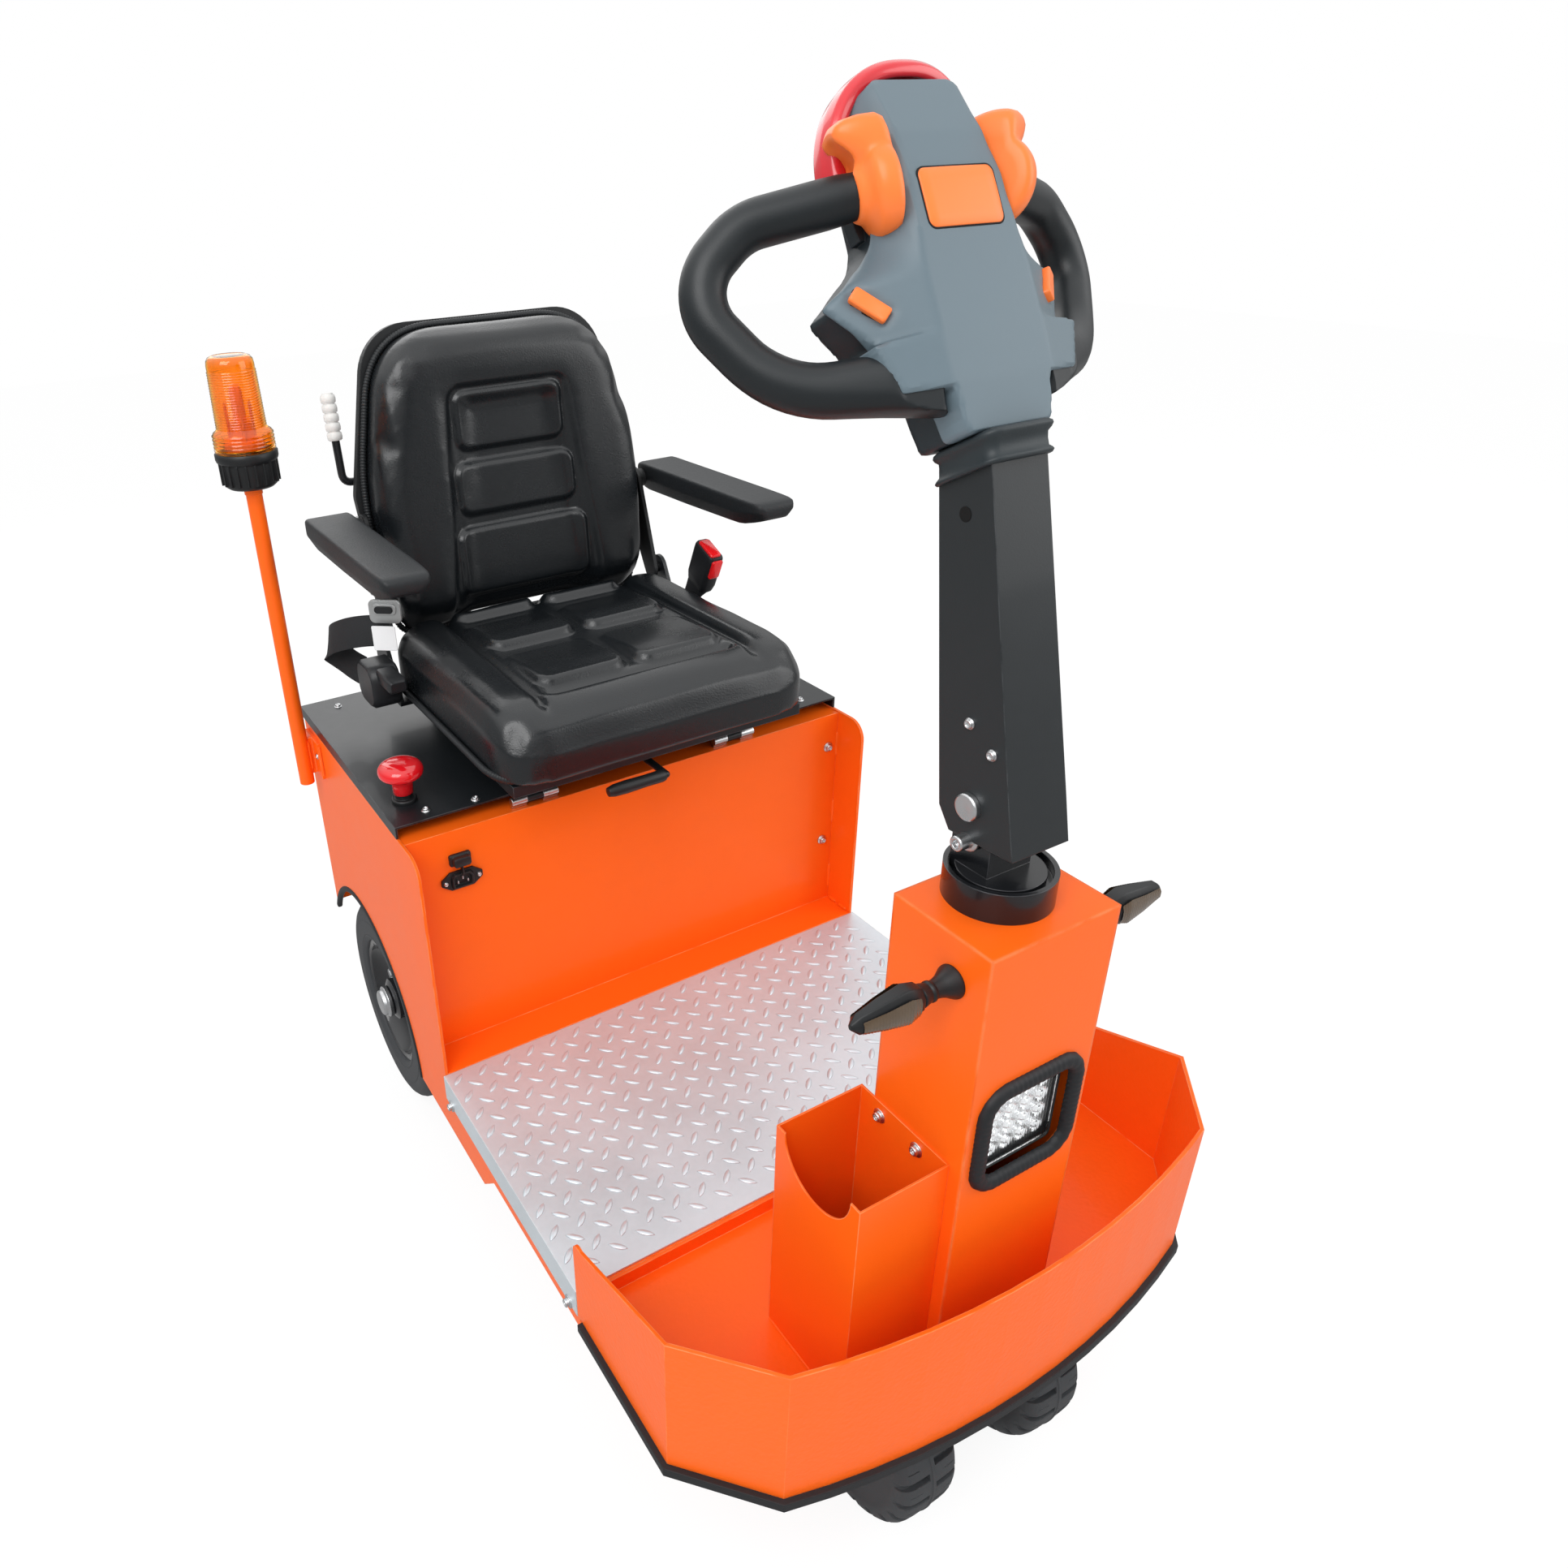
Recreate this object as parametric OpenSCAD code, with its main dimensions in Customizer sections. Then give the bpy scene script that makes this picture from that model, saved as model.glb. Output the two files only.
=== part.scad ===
// Seated electric tow tractor: checker-plate deck, seat on a tipping cover,
// nose tray with a steering column, twin front wheels and a long tiller.
// Millimetres. The front faces -Y, the driver's left is +X, the ground is z = 0.
// Inside the modules x = 0 is the middle plane and y = 0 the deck's rear edge.

/* [Body] */
// Width over the body's side plates
body_w = 704; // [680:4:760]
// Thickness of the body's orange sheet steel
sheet = 4; // [3:0.5:6]
// Height of the deck's walking surface above the ground
deck_z = 270; // [266:2:300]
// Length of the deck plate, front to back
deck_l = 386; // [340:2:460]
// Thickness of the checker plate
deck_t = 3; // [2:0.5:4]
// Depth of the deck plate's side flanges
deck_flange = 40; // [30:1:50]
// Height of the seat box's side plates above the ground
box_z = 610; // [590:5:670]
// Depth of the seat box, from the deck's rear edge to its back
box_l = 490; // [470:5:520]
// Radius of the side plates' top front corners
box_corner_r = 28; // [5:1:50]
// How far the front panel stands behind the side plates' front edges
panel_recess = 56; // [30:1:64]
// Height of the side plates' bottom edge beside the deck
skirt_z = 206; // [182:1:222]
// Height of the side plates' bottom edge just ahead of the wheel arch
sill_z = 168; // [150:1:195]
// Length of the deeper sill ahead of the arch
sill_l = 110; // [60:5:160]
// Radius of the wheel arch
arch_r = 195; // [180:1:226]

/* [Frame] */
// Width of a frame rail
rail_w = 40; // [30:1:60]
// Height of the frame rails
rail_h = 57; // [50:1:60]
// Distance between the rails' outer faces
rail_span = 420; // [400:5:424]
// Front-to-back width of a cross member
cross_w = 40; // [30:1:50]

/* [Battery] */
// Width of the battery block
battery_w = 400; // [300:10:420]
// Length of the battery block
battery_l = 330; // [250:10:340]
// Height of the battery block
battery_h = 250; // [200:10:280]

/* [Nose tray] */
// How far the tray floor lies below the deck
tray_drop = 22; // [10:1:24]
// Height of the tray's front wall above its floor
tray_wall = 166; // [100:2:220]
// Height of the side walls' rear tips above the floor
tray_tip = 106; // [60:2:160]
// Depth of the skirt below the tray floor
tray_skirt = 10; // [6:1:12]
// Length of the tray's side walls
tray_side = 187; // [150:1:220]
// Front-to-back length of the tray's corner cuts
tray_cut_l = 84; // [50:1:120]
// Width of each corner cut
tray_cut_w = 78; // [40:1:120]
// How far the front wall bows forward of its corners
tray_bow = 38; // [10:1:60]
// Height of the rubber strip under the skirt
strip_h = 11; // [8:1:12]
// How far the rubber strip stands out of the skirt
strip_out = 6; // [2:1:12]

/* [Steering column] */
// Width of the column
column_w = 152; // [140:2:180]
// Front-to-back depth of the column
column_d = 118; // [112:1:140]
// Height of the column's top above the ground
column_z = 775; // [750:5:830]
// How far the column's middle stands ahead of the steering axis
column_ahead = 11; // [3:1:20]
// Width of the work lamp's opening
lamp_w = 112; // [90:2:120]
// Height of the work lamp's opening
lamp_h = 108; // [90:2:120]
// Height of the lamp's middle above the ground
lamp_z = 560; // [530:5:590]
// Radius of the opening's corners
lamp_r = 22; // [5:1:30]
// Width of the side bin
bin_w = 106; // [80:2:140]
// Front-to-back depth of the side bin
bin_d = 122; // [80:2:140]
// Height of the side bin
bin_h = 284; // [200:2:320]
// How far the bin's front stands behind the column's front
bin_setback = 15; // [0:1:40]
// Radius of the scoop in the bin's outer wall
scoop_r = 48; // [20:1:55]
// Reach of a turn signal from the column's side
signal_l = 112; // [80:2:140]

/* [Steering] */
// Radius of the steering shaft inside the column
king_r = 22; // [15:0.5:25]
// Radius of the black ring on the column
ring_r = 49; // [46:1:55]
// Depth of the recess in the ring's top
ring_recess = 10; // [6:1:14]
// Height of the black ring
ring_h = 30; // [24:1:40]
// Distance from the deck's front edge to the steering axis
king_ahead = 186; // [179:1:194]
// Radius of the front tyres
front_r = 109; // [100:1:110]
// Width of a front tyre
front_w = 79; // [60:1:84]
// Sideways distance from the middle to a front tyre's middle
front_x = 93; // [90:1:110]
// Radius of the front wheels' rims
front_rim_r = 58; // [50:1:70]
// Radius of the front axle
front_axle_r = 12.5; // [10:0.5:16]
// Front-to-back length of the fork leg
fork_l = 96; // [80:1:110]

/* [Rear axle] */
// Radius of the rear tyres
rear_r = 166; // [158:1:174]
// Width of a rear tyre
rear_w = 90; // [80:1:98]
// Distance from the body's outer face in to the tyre's outer face
rear_inset = 13; // [10:1:40]
// Distance from the deck's rear edge back to the rear axle
rear_y = 318; // [310:1:330]
// Radius of the rear rims
rear_rim_r = 100; // [90:1:112]
// Radius of the rear axle tube
axle_tube_r = 36; // [30:1:40]
// Radius of the axle's stub shafts
stub_r = 17.5; // [12:0.5:20]

/* [Tow hitch] */
// Width of the hitch jaw
hitch_w = 90; // [80:2:120]
// Reach of the jaw behind the body
hitch_l = 78; // [60:1:90]
// Thickness of each jaw plate
hitch_t = 14; // [10:1:16]
// Clear height of the jaw's mouth
hitch_gap = 44; // [36:1:50]
// Radius of the hitch pin's holes
hitch_hole_r = 13; // [10:0.5:16]
// Height of the middle of the mouth above the ground
hitch_z = 250; // [240:5:275]

/* [Seat] */
// Height of the black cover plate's top above the side plates
cover_rise = 17; // [15:1:60]
// Thickness of the cover plate
cover_t = 3; // [2:0.5:4]
// Distance from the deck's rear edge to the cover's front edge
cover_y = 71; // [68:1:80]
// How far the cover reaches behind the seat box
cover_lap = 14; // [10:1:20]
// Height of the seat's slide rails
seat_rail_h = 40; // [30:1:60]
// Width of the seat pan
pan_w = 440; // [400:4:460]
// Thickness of the seat pan
pan_t = 16; // [10:1:24]
// Width of the seat cushion
cushion_w = 472; // [440:4:480]
// Length of the seat cushion
cushion_l = 412; // [380:4:412]
// Height of the seat cushion
cushion_h = 92; // [70:1:110]
// Distance of the cushion's front edge ahead of the deck's rear edge
cushion_front = 22; // [0:1:40]
// Width of the backrest
back_w = 444; // [400:4:460]
// Height of the backrest
back_h = 405; // [360:5:450]
// Thickness of the backrest's pad
back_t = 70; // [50:1:90]
// Thickness of the backrest's shell
shell_t = 14; // [10:1:20]
// Backward lean of the backrest in degrees
back_lean = 8; // [4:1:12]
// Distance from the deck's rear edge back to the backrest's recline axis
recline_y = 398; // [390:1:410]
// Distance between the slide rails' middles
rail_gauge = 330; // [300:2:340]
// Radius of the red stop knob
knob_r = 30; // [20:1:36]
// Height of the stop switch under its knob
stop_h = 32; // [20:1:50]
// Width of an armrest
arm_w = 68; // [50:1:80]
// Length of an armrest
arm_l = 320; // [260:5:340]
// Thickness of an armrest
arm_t = 46; // [36:1:56]
// Height of the armrests' tops above the ground
arm_z = 928; // [912:2:952]

/* [Beacon] */
// Radius of the beacon's pole
pole_r = 11; // [8:0.5:14]
// Height of the top of the pole
pole_z = 988; // [870:5:1070]
// Distance from the body's side to the pole's middle
pole_gap = 22; // [20:1:30]
// Distance from the seat box's back to the pole
pole_setback = 45; // [36:1:60]
// Radius of the amber lens
lens_r = 32; // [25:1:45]
// Height of the amber lens
lens_h = 122; // [90:1:140]
// Radius of the black beacon base
beacon_r = 42; // [35:1:55]
// Height of the black beacon base
beacon_h = 50; // [40:1:60]

/* [Tiller] */
// Width of the tiller's post
post_w = 66; // [60:1:76]
// Width of the post at its head
post_top_w = 58; // [50:1:66]
// Wall thickness of the post
post_t = 5; // [3:0.5:6]
// Distance from the pivot pin to the post's front face
post_front = 43; // [40:1:48]
// Front-to-back depth of the post at its foot
post_foot = 80; // [74:1:90]
// Front-to-back depth of the post at its head
post_head = 54; // [48:1:64]
// How far the pivot pin lies behind the steering axis
pivot_back = 13; // [6:1:17]
// Height of the pivot pin above the ground
pivot_z = 868; // [858:1:882]
// Length of the post from the pivot pin to its top
post_l = 307; // [260:1:340]
// Backward lean of the post in degrees
post_lean = 13.5; // [10:0.5:16]
// Radius of the pivot pin
pivot_r = 8; // [6:0.5:10]
// Backward lean of the control head in degrees
head_lean = 28; // [24:1:34]
// Length of the control head
head_l = 264; // [240:2:290]
// Thickness of the head's grey cover
head_t = 34; // [28:1:40]
// Depth of the head's dark housing
housing_t = 40; // [30:1:56]
// Outer radius of the red rim round the head's top
dome_r = 117; // [108:1:124]
// Radius of the handle tubes
grip_r = 18; // [15:0.5:20]
// Radius of the handle tubes at their lower roots
grip_foot_r = 27; // [20:0.5:28]
// Backward sweep of the handle loops in degrees
grip_sweep = 25; // [15:1:30]

/* [Fits] */
// Radial clearance of shafts and pins in their bores
run_gap = 0.1; // [0.05:0.01:0.1]
// Clearance between faces that move past each other
seat_gap = 0.3; // [0.2:0.1:0.5]

/* [Hidden] */
$fn = 48;

// Shift that puts the frame's origin under the middle of the bounding box
origin_x = 27.5;
origin_y = 67.5;

// Paint and material colours
orange = "#f2591a";
black = "#1c1d1f";
rubber = "#232426";
steel = "#b9bcc0";

// Derived places of the body
half_w = body_w / 2;
frame_z1 = deck_z - deck_t;
frame_z0 = frame_z1 - rail_h;
inner_w = half_w - sheet;
floor_z = deck_z - tray_drop;
tray_z0 = floor_z - sheet - tray_skirt;
tray_hw = half_w + deck_t;
tray_y0 = deck_l + 2;
tray_y1 = tray_y0 + tray_side;
tray_y2 = tray_y1 + tray_cut_l;
king_y = deck_l + king_ahead;
column_y1 = king_y + column_ahead + column_d / 2;
pivot_y = king_y - pivot_back;
pole_y = box_l - pole_setback;

// Derived places of the seat and its cover
hinge_r = 6;
hinge_z = box_z + hinge_r + 1;
hinge_x = 160;
knuckle_x0 = 12;
knuckle_x1 = 34;
cover_z = box_z + cover_rise;
rail_top = cover_z + seat_rail_h;
pan_top = rail_top + pan_t;
recline_z = pan_top + 84;
arm_y = recline_y + 48;
arm_pivot_z = arm_z - arm_t / 2;
back_x = back_w / 2;

// Derived places of the steering and the tiller
yoke_z = column_z + ring_h - ring_recess + seat_gap;
lug_r = 22;
bearing_r = 46;
bearing_z = floor_z - sheet - 12;
fork_top = bearing_z - seat_gap;

// Derived places on the control head, in its own frame
head_k = head_l / 264;
dome_z = 168 * head_k;
dome_cut = 38;
rim_t = 12;
grip_root = 50;
grip_depth = 17.5;
grip_height = 187 * head_k;
paddle_r = 36;
paddle_x = 8;
// Front surface of the cover: flat up to this half-width, then sloped back
flat_w = 50;
wing_slope = 18.4;

// Middle line of a handle loop: [straight, bend radius, bend angle]
LOOP_STEPS = [[98, 50, 35], [12, 42, 85], [20, 90, 40], [78, 0, 0]];
// Sides of a handle tube's section
LOOP_SIDES = 20;

// Moves the whole tractor so that the origin lies under its middle
module placed() {
    translate([origin_x, origin_y, 0]) children();
}

// A box from its lowest to its highest corner
module block(lo, hi) {
    translate(lo) cube(hi - lo);
}

// A prism of a (y, z) outline that runs from x0 to x1
module prism_x(x0, x1) {
    translate([x0, 0, 0]) rotate([90, 0, 90]) linear_extrude(x1 - x0) children();
}

// A cylinder along X from x0 to x1
module rod_x(r, x0, x1, y, z) {
    translate([x0, y, z]) rotate([0, 90, 0]) cylinder(r = r, h = x1 - x0);
}

// A rectangle with round corners, centred
module round_rect(w, h, r) {
    hull() for (sx = [-1, 1], sy = [-1, 1]) translate([sx * (w / 2 - r), sy * (h / 2 - r)]) circle(r);
}

// Points of an arc about (cy, cz), in steps that end exactly on both angles
function arc(cy, cz, r, a0, a1, n) =
    [for (i = [0:n]) let (a = a0 + (a1 - a0) * i / n) [cy + r * cos(a), cz + r * sin(a)]];

// ---------------------------------------------------------------- body

module chassis_frame() {
    color(orange) placed() {
        for (s = [-1, 1]) {
            x1 = s * rail_span / 2;
            x0 = s * (rail_span / 2 - rail_w);
            block([min(x0, x1), -deck_l, frame_z0], [max(x0, x1), box_l - sheet, frame_z1]);
        }
        // [front edge] of each cross member
        for (y = [-tray_y0, -cross_w, panel_recess])
            block([-inner_w, y, frame_z0 + 10], [inner_w, y + cross_w, frame_z1]);
    }
}

// Side plate's outline in (y, z), with the wheel arch cut by the caller
module side_outline() {
    step = sill_z < skirt_z ? skirt_z - sill_z : 0;
    polygon(concat(
        [[-deck_l, skirt_z], [-sill_l - step, skirt_z], [-sill_l, sill_z], [box_l, sill_z],
         [box_l, box_z]],
        arc(box_corner_r, box_z - box_corner_r, box_corner_r, 90, 180, 8),
        [[0, frame_z1], [-deck_l, frame_z1]]
    ));
}

module side_plate(x0) {
    color(orange) placed() difference() {
        prism_x(x0, x0 + sheet) side_outline();
        rod_x(arch_r, x0 - 1, x0 + sheet + 1, rear_y, rear_r);
        block([x0 - 1, rear_y, 0], [x0 + sheet + 1, box_l + 1, rear_r]);
    }
}

module side_plate_left() {
    side_plate(inner_w);
}

module side_plate_right() {
    side_plate(-half_w);
}

module front_panel() {
    color(orange) placed() {
        block([-inner_w, panel_recess, frame_z1], [inner_w, panel_recess + sheet, box_z - 2]);
        block([-inner_w, 0, frame_z1], [inner_w, panel_recess, frame_z1 + sheet]);
        block([-inner_w, panel_recess, box_z - 2 - sheet], [inner_w, cover_y + 30, box_z - 2]);
    }
}

module rear_panel() {
    notch_x = rail_span / 2 + 4;
    notch_z = 2 * rear_r - 60;
    color(orange) placed() difference() {
        block([-inner_w, box_l - sheet, frame_z0], [inner_w, box_l, box_z]);
        for (s = [0, 1]) mirror([s, 0, 0])
            block([notch_x, box_l - sheet - 1, frame_z0 - 1], [half_w, box_l + 1, notch_z]);
    }
}

module deck_plate() {
    color(steel) placed() {
        block([-half_w, -deck_l, frame_z1], [half_w, 0, deck_z]);
        for (s = [-1, 1]) {
            x0 = s > 0 ? half_w : -half_w - deck_t;
            block([x0, -deck_l, deck_z - deck_flange], [x0 + deck_t, 0, deck_z]);
        }
    }
}

// ---------------------------------------------------------------- nose

// Tray outline seen from above; the front is an arc over the corners
module tray_outline() {
    chord = tray_hw - tray_cut_w;
    front_radius = (chord * chord + tray_bow * tray_bow) / (2 * tray_bow);
    half_angle = asin(chord / front_radius);
    front_centre = -tray_y2 - tray_bow + front_radius;
    polygon(concat(
        [[tray_hw, -tray_y0], [-tray_hw, -tray_y0], [-tray_hw, -tray_y1]],
        arc(0, front_centre, front_radius, 270 - half_angle, 270 + half_angle, 12),
        [[tray_hw, -tray_y1]]
    ));
}

module nose_tray() {
    wall_top = floor_z + tray_wall;
    tip_r = 12;
    tip_z = floor_z + tray_tip;
    color(orange) placed() difference() {
        union() {
            translate([0, 0, tray_z0]) linear_extrude(wall_top - tray_z0) difference() {
                tray_outline();
                offset(delta = -sheet) tray_outline();
            }
            translate([0, 0, floor_z - sheet]) linear_extrude(sheet) tray_outline();
            translate([0, -king_y, bearing_z]) cylinder(r = bearing_r, h = floor_z - sheet - bearing_z);
        }
        // the rear riser stops under the deck, between the side walls
        block([sheet - tray_hw, -tray_y0 - sheet - 1, frame_z1],
              [tray_hw - sheet, 1 - tray_y0, wall_top + 1]);
        // the side walls drop towards their rounded rear tips
        prism_x(-tray_hw - 1, tray_hw + 1) polygon(concat(
            [[1 - tray_y0, wall_top + 1], [-tray_y1, wall_top + 1], [-tray_y1, wall_top]],
            arc(-tray_y0 - tip_r, tip_z - tip_r, tip_r, 110, 0, 6),
            [[1 - tray_y0, tip_z - tip_r]]
        ));
        translate([0, -king_y, bearing_z - 1]) cylinder(r = king_r + run_gap, h = floor_z - bearing_z + 2);
    }
}

module bumper_strip() {
    strip_in = sheet + 4;
    color(rubber) placed() translate([0, 0, tray_z0 - strip_h]) linear_extrude(strip_h) difference() {
        offset(delta = strip_out) tray_outline();
        offset(delta = -strip_in) tray_outline();
        translate([0, -tray_y0 + 50]) square([2 * tray_hw + 40, 120], center = true);
    }
}

module column() {
    x1 = column_w / 2;
    y0 = -column_y1;
    y1 = column_d - column_y1;
    color(orange) placed() difference() {
        block([-x1, y0, floor_z], [x1, y1, column_z]);
        block([sheet - x1, y0 + sheet, floor_z - 1], [x1 - sheet, y1 - sheet, column_z - sheet]);
        translate([0, y0 + sheet + 1, lamp_z]) rotate([90, 0, 0])
            linear_extrude(sheet + 2) round_rect(lamp_w, lamp_h, lamp_r);
        translate([0, -king_y, column_z - sheet - 1]) cylinder(r = king_r + 2, h = sheet + 2);
    }
}

module side_bin() {
    wall = sheet / 2;
    x1 = -column_w / 2;
    x0 = x1 - bin_w;
    y0 = bin_setback - column_y1;
    y1 = y0 + bin_d;
    top = floor_z + bin_h;
    color(orange) placed() difference() {
        block([x0, y0, floor_z], [x1, y1, top]);
        block([x0 + wall, y0 + wall, floor_z + wall], [x1 - wall, y1 - wall, top + 1]);
        // scoop in the outer wall
        rod_x(scoop_r, x0 - 1, x0 + wall + 1, (y0 + y1) / 2, top);
    }
}

module work_lamp() {
    flange = 8;
    lip = 6;
    depth = 40;
    y0 = -column_y1;
    color("#c9ced2") placed() {
        translate([0, y0 + lip, lamp_z]) rotate([90, 0, 0])
            linear_extrude(flange) round_rect(lamp_w - 26, lamp_h - 8, 10);
        block([-lamp_w / 2 - flange, y0 + sheet, lamp_z - lamp_h / 2 - flange],
              [lamp_w / 2 + flange, y0 + sheet + 5, lamp_z + lamp_h / 2 + flange]);
        translate([0, y0 + depth, lamp_z]) rotate([90, 0, 0])
            linear_extrude(depth - flange) round_rect(lamp_w - 36, lamp_h - 20, 10);
    }
}

module lamp_trim() {
    color(rubber) placed() difference() {
        translate([0, -column_y1, lamp_z]) rotate([90, 0, 0])
            linear_extrude(7) round_rect(lamp_w + 20, lamp_h + 20, lamp_r + 10);
        translate([0, -column_y1 + 1, lamp_z]) rotate([90, 0, 0])
            linear_extrude(9) round_rect(lamp_w - 8, lamp_h - 4, lamp_r - 4);
    }
}

// Turn signals: a flared stalk and a flat arrow-shaped body on each side
module turn_signals() {
    stalk_l = 34;
    stalk_r = 8;
    flare_l = 12;
    body_t = 26;
    drop = 46;
    back = 40;
    l = signal_l - stalk_l;
    color(rubber) placed() for (s = [-1, 1]) translate([s * column_w / 2, back - column_y1, column_z - drop])
        rotate([0, 0, s > 0 ? 0 : 180]) {
            rotate([0, 90, 0]) cylinder(r1 = 17, r2 = stalk_r, h = flare_l);
            rod_x(stalk_r, flare_l, stalk_l, 0, 0);
            translate([stalk_l, body_t / 2, 0]) rotate([90, 0, 0]) linear_extrude(body_t)
                polygon([[0, -9], [0, 9], [22, 16], [l - 12, 13], [l, 0], [l - 12, -13], [22, -16]]);
        }
}

module steering_ring() {
    rim = 4.5;
    color(black) placed() translate([0, -king_y, column_z]) difference() {
        cylinder(r = ring_r, h = ring_h);
        translate([0, 0, -1]) cylinder(r = king_r + run_gap, h = ring_h + 2);
        translate([0, 0, ring_h - ring_recess]) cylinder(r = ring_r - rim, h = ring_recess + 1);
    }
}

// ---------------------------------------------------------------- inner masses and rear

module battery() {
    y0 = (panel_recess + box_l - battery_l) / 2;
    x = battery_w / 2;
    color("#3a3d42") placed() block([-x, y0, frame_z1], [x, y0 + battery_l, frame_z1 + battery_h]);
}

module rear_axle() {
    hub_x = half_w - rear_inset - rear_w;
    gear_r = 68;
    motor_r = 56;
    motor_l = 150;
    saddle_l = 100;
    color(black) placed() {
        rod_x(axle_tube_r, 8 - hub_x, hub_x - 8, rear_y, rear_r);
        rod_x(stub_r, rear_inset + 6 - half_w, half_w - rear_inset - 6, rear_y, rear_r);
        // gear case and motor
        rod_x(gear_r, -60, 60, rear_y, rear_r);
        translate([0, rear_y - gear_r + 10, rear_r]) rotate([90, 0, 0]) cylinder(r = motor_r, h = motor_l);
        // saddles under the frame rails
        for (s = [-1, 1]) {
            xm = s * (rail_span - rail_w) / 2;
            block([xm - rail_w / 2, rear_y - saddle_l / 2, rear_r],
                  [xm + rail_w / 2, rear_y + saddle_l / 2, frame_z0]);
        }
    }
}

module tow_hitch() {
    y0 = box_l;
    y1 = box_l + hitch_l;
    z0 = hitch_z - hitch_gap / 2 - hitch_t;
    z1 = hitch_z + hitch_gap / 2 + hitch_t;
    color(black) placed() difference() {
        union() {
            block([-hitch_w / 2, y0, z0], [hitch_w / 2, y1, z1]);
            block([-hitch_w / 2 - 25, y0, z0], [hitch_w / 2 + 25, y0 + 8, z1]);
        }
        block([-hitch_w / 2 - 1, y0 + 20, hitch_z - hitch_gap / 2],
              [hitch_w / 2 + 1, y1 + 1, hitch_z + hitch_gap / 2]);
        translate([0, y1 - 30, z0 - 1]) cylinder(r = hitch_hole_r, h = z1 - z0 + 2);
        for (s = [-1, 1]) translate([s * (hitch_w / 2 + 1), y1 + 1, z0 - 1])
            rotate([0, 0, 45]) cube([30, 30, 2 * (z1 - z0)], center = true);
    }
}

module charge_inlet() {
    inlet_x = 75 - half_w;
    inlet_z = box_z - 76;
    cap_rise = 32;
    color(rubber) placed() translate([inlet_x, panel_recess, inlet_z]) rotate([90, 0, 0]) {
        linear_extrude(4) round_rect(50, 28, 5);
        translate([0, cap_rise]) cylinder(r = 15, h = 14);
    }
}

// ---------------------------------------------------------------- beacon

pole_x = -half_w - pole_gap;

module beacon_pole() {
    bracket_z0 = box_z - 84;
    color(orange) placed() {
        translate([pole_x, pole_y, bracket_z0]) cylinder(r = pole_r, h = pole_z - bracket_z0);
        difference() {
            block([pole_x, pole_y - 32, bracket_z0 + 14], [-half_w, pole_y + 32, bracket_z0 + 74]);
            block([pole_x - 1, pole_y - 33, bracket_z0 + 13], [-half_w - 5, pole_y - 3, bracket_z0 + 75]);
            block([pole_x - 1, pole_y + 3, bracket_z0 + 13], [-half_w - 5, pole_y + 33, bracket_z0 + 75]);
        }
    }
}

module beacon_base() {
    color(black) placed() translate([pole_x, pole_y, pole_z]) {
        cylinder(r = beacon_r - 6, h = beacon_h - 14);
        translate([0, 0, beacon_h - 14]) cylinder(r = beacon_r, h = 14);
    }
}

module beacon_lens() {
    color("#f08a12") placed() translate([pole_x, pole_y, pole_z + beacon_h]) {
        cylinder(r = lens_r, h = lens_h - 12);
        translate([0, 0, lens_h - 12]) cylinder(r1 = lens_r, r2 = lens_r - 10, h = 12);
    }
}

// ---------------------------------------------------------------- tipping cover and seat

module lid_hinge() {
    y = cover_y - hinge_r;
    leaf = 2;
    color(steel) placed() for (x = [-hinge_x, hinge_x]) {
        rod_x(hinge_r, x - knuckle_x1, x - knuckle_x0, y, hinge_z);
        rod_x(hinge_r, x + knuckle_x0, x + knuckle_x1, y, hinge_z);
        rod_x(hinge_r / 2, x - knuckle_x1, x + knuckle_x1, y, hinge_z);
        for (s = [0, 1]) translate([x, 0, 0]) mirror([s, 0, 0])
            block([knuckle_x0, y - leaf, box_z - leaf], [knuckle_x1, y + leaf, hinge_z]);
    }
}

module cover_plate() {
    y1 = box_l + cover_lap;
    z1 = cover_z - cover_t;
    z0 = box_z + seat_gap;
    y = cover_y - hinge_r;
    x1 = knuckle_x0 - seat_gap;
    color(black) placed() {
        block([-half_w, cover_y, z1], [half_w, y1, cover_z]);
        for (s = [0, 1]) mirror([s, 0, 0]) block([half_w - cover_t, cover_y, z0], [half_w, y1, cover_z]);
        block([-half_w, y1 - cover_t, z0], [half_w, y1, cover_z]);
        // hinge knuckles between the fixed ones
        for (x = [-hinge_x, hinge_x]) translate([x, 0, 0]) difference() {
            union() {
                rod_x(hinge_r, -x1, x1, y, hinge_z);
                block([-x1, y, hinge_z], [x1, cover_y + 1, hinge_z + hinge_r]);
                block([-x1, cover_y - 1, hinge_z], [x1, cover_y + 20, z1]);
            }
            rod_x(hinge_r / 2 + run_gap, -x1 - 1, x1 + 1, y, hinge_z);
        }
    }
}

module seat_rails() {
    rail_hw = 18;
    bar_w = 25;
    lever_r = 5;
    lever_x = -4;
    lever_y = 4 - cushion_front;
    lever_z = rail_top - 26;
    x0 = (rail_gauge - rail_hw) / 2;
    y0 = cover_y + 10;
    y1 = recline_y - 18;
    color(black) placed() {
        for (s = [-1, 1]) block([s * rail_gauge / 2 - rail_hw, y0, cover_z],
                                [s * rail_gauge / 2 + rail_hw, y1, rail_top]);
        for (y = [y0 + 30, y1 - 50]) block([-x0, y, cover_z + 6], [x0, y + bar_w, rail_top - 8]);
        // slide lever under the cushion's front edge
        rod_x(lever_r, -90, lever_x, lever_y, lever_z);
        translate([lever_x, lever_y, lever_z]) rotate([-90, 0, 0])
            cylinder(r = lever_r, h = y0 + 34 - lever_y);
        translate([lever_x, lever_y, lever_z]) sphere(r = lever_r);
    }
}

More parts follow.
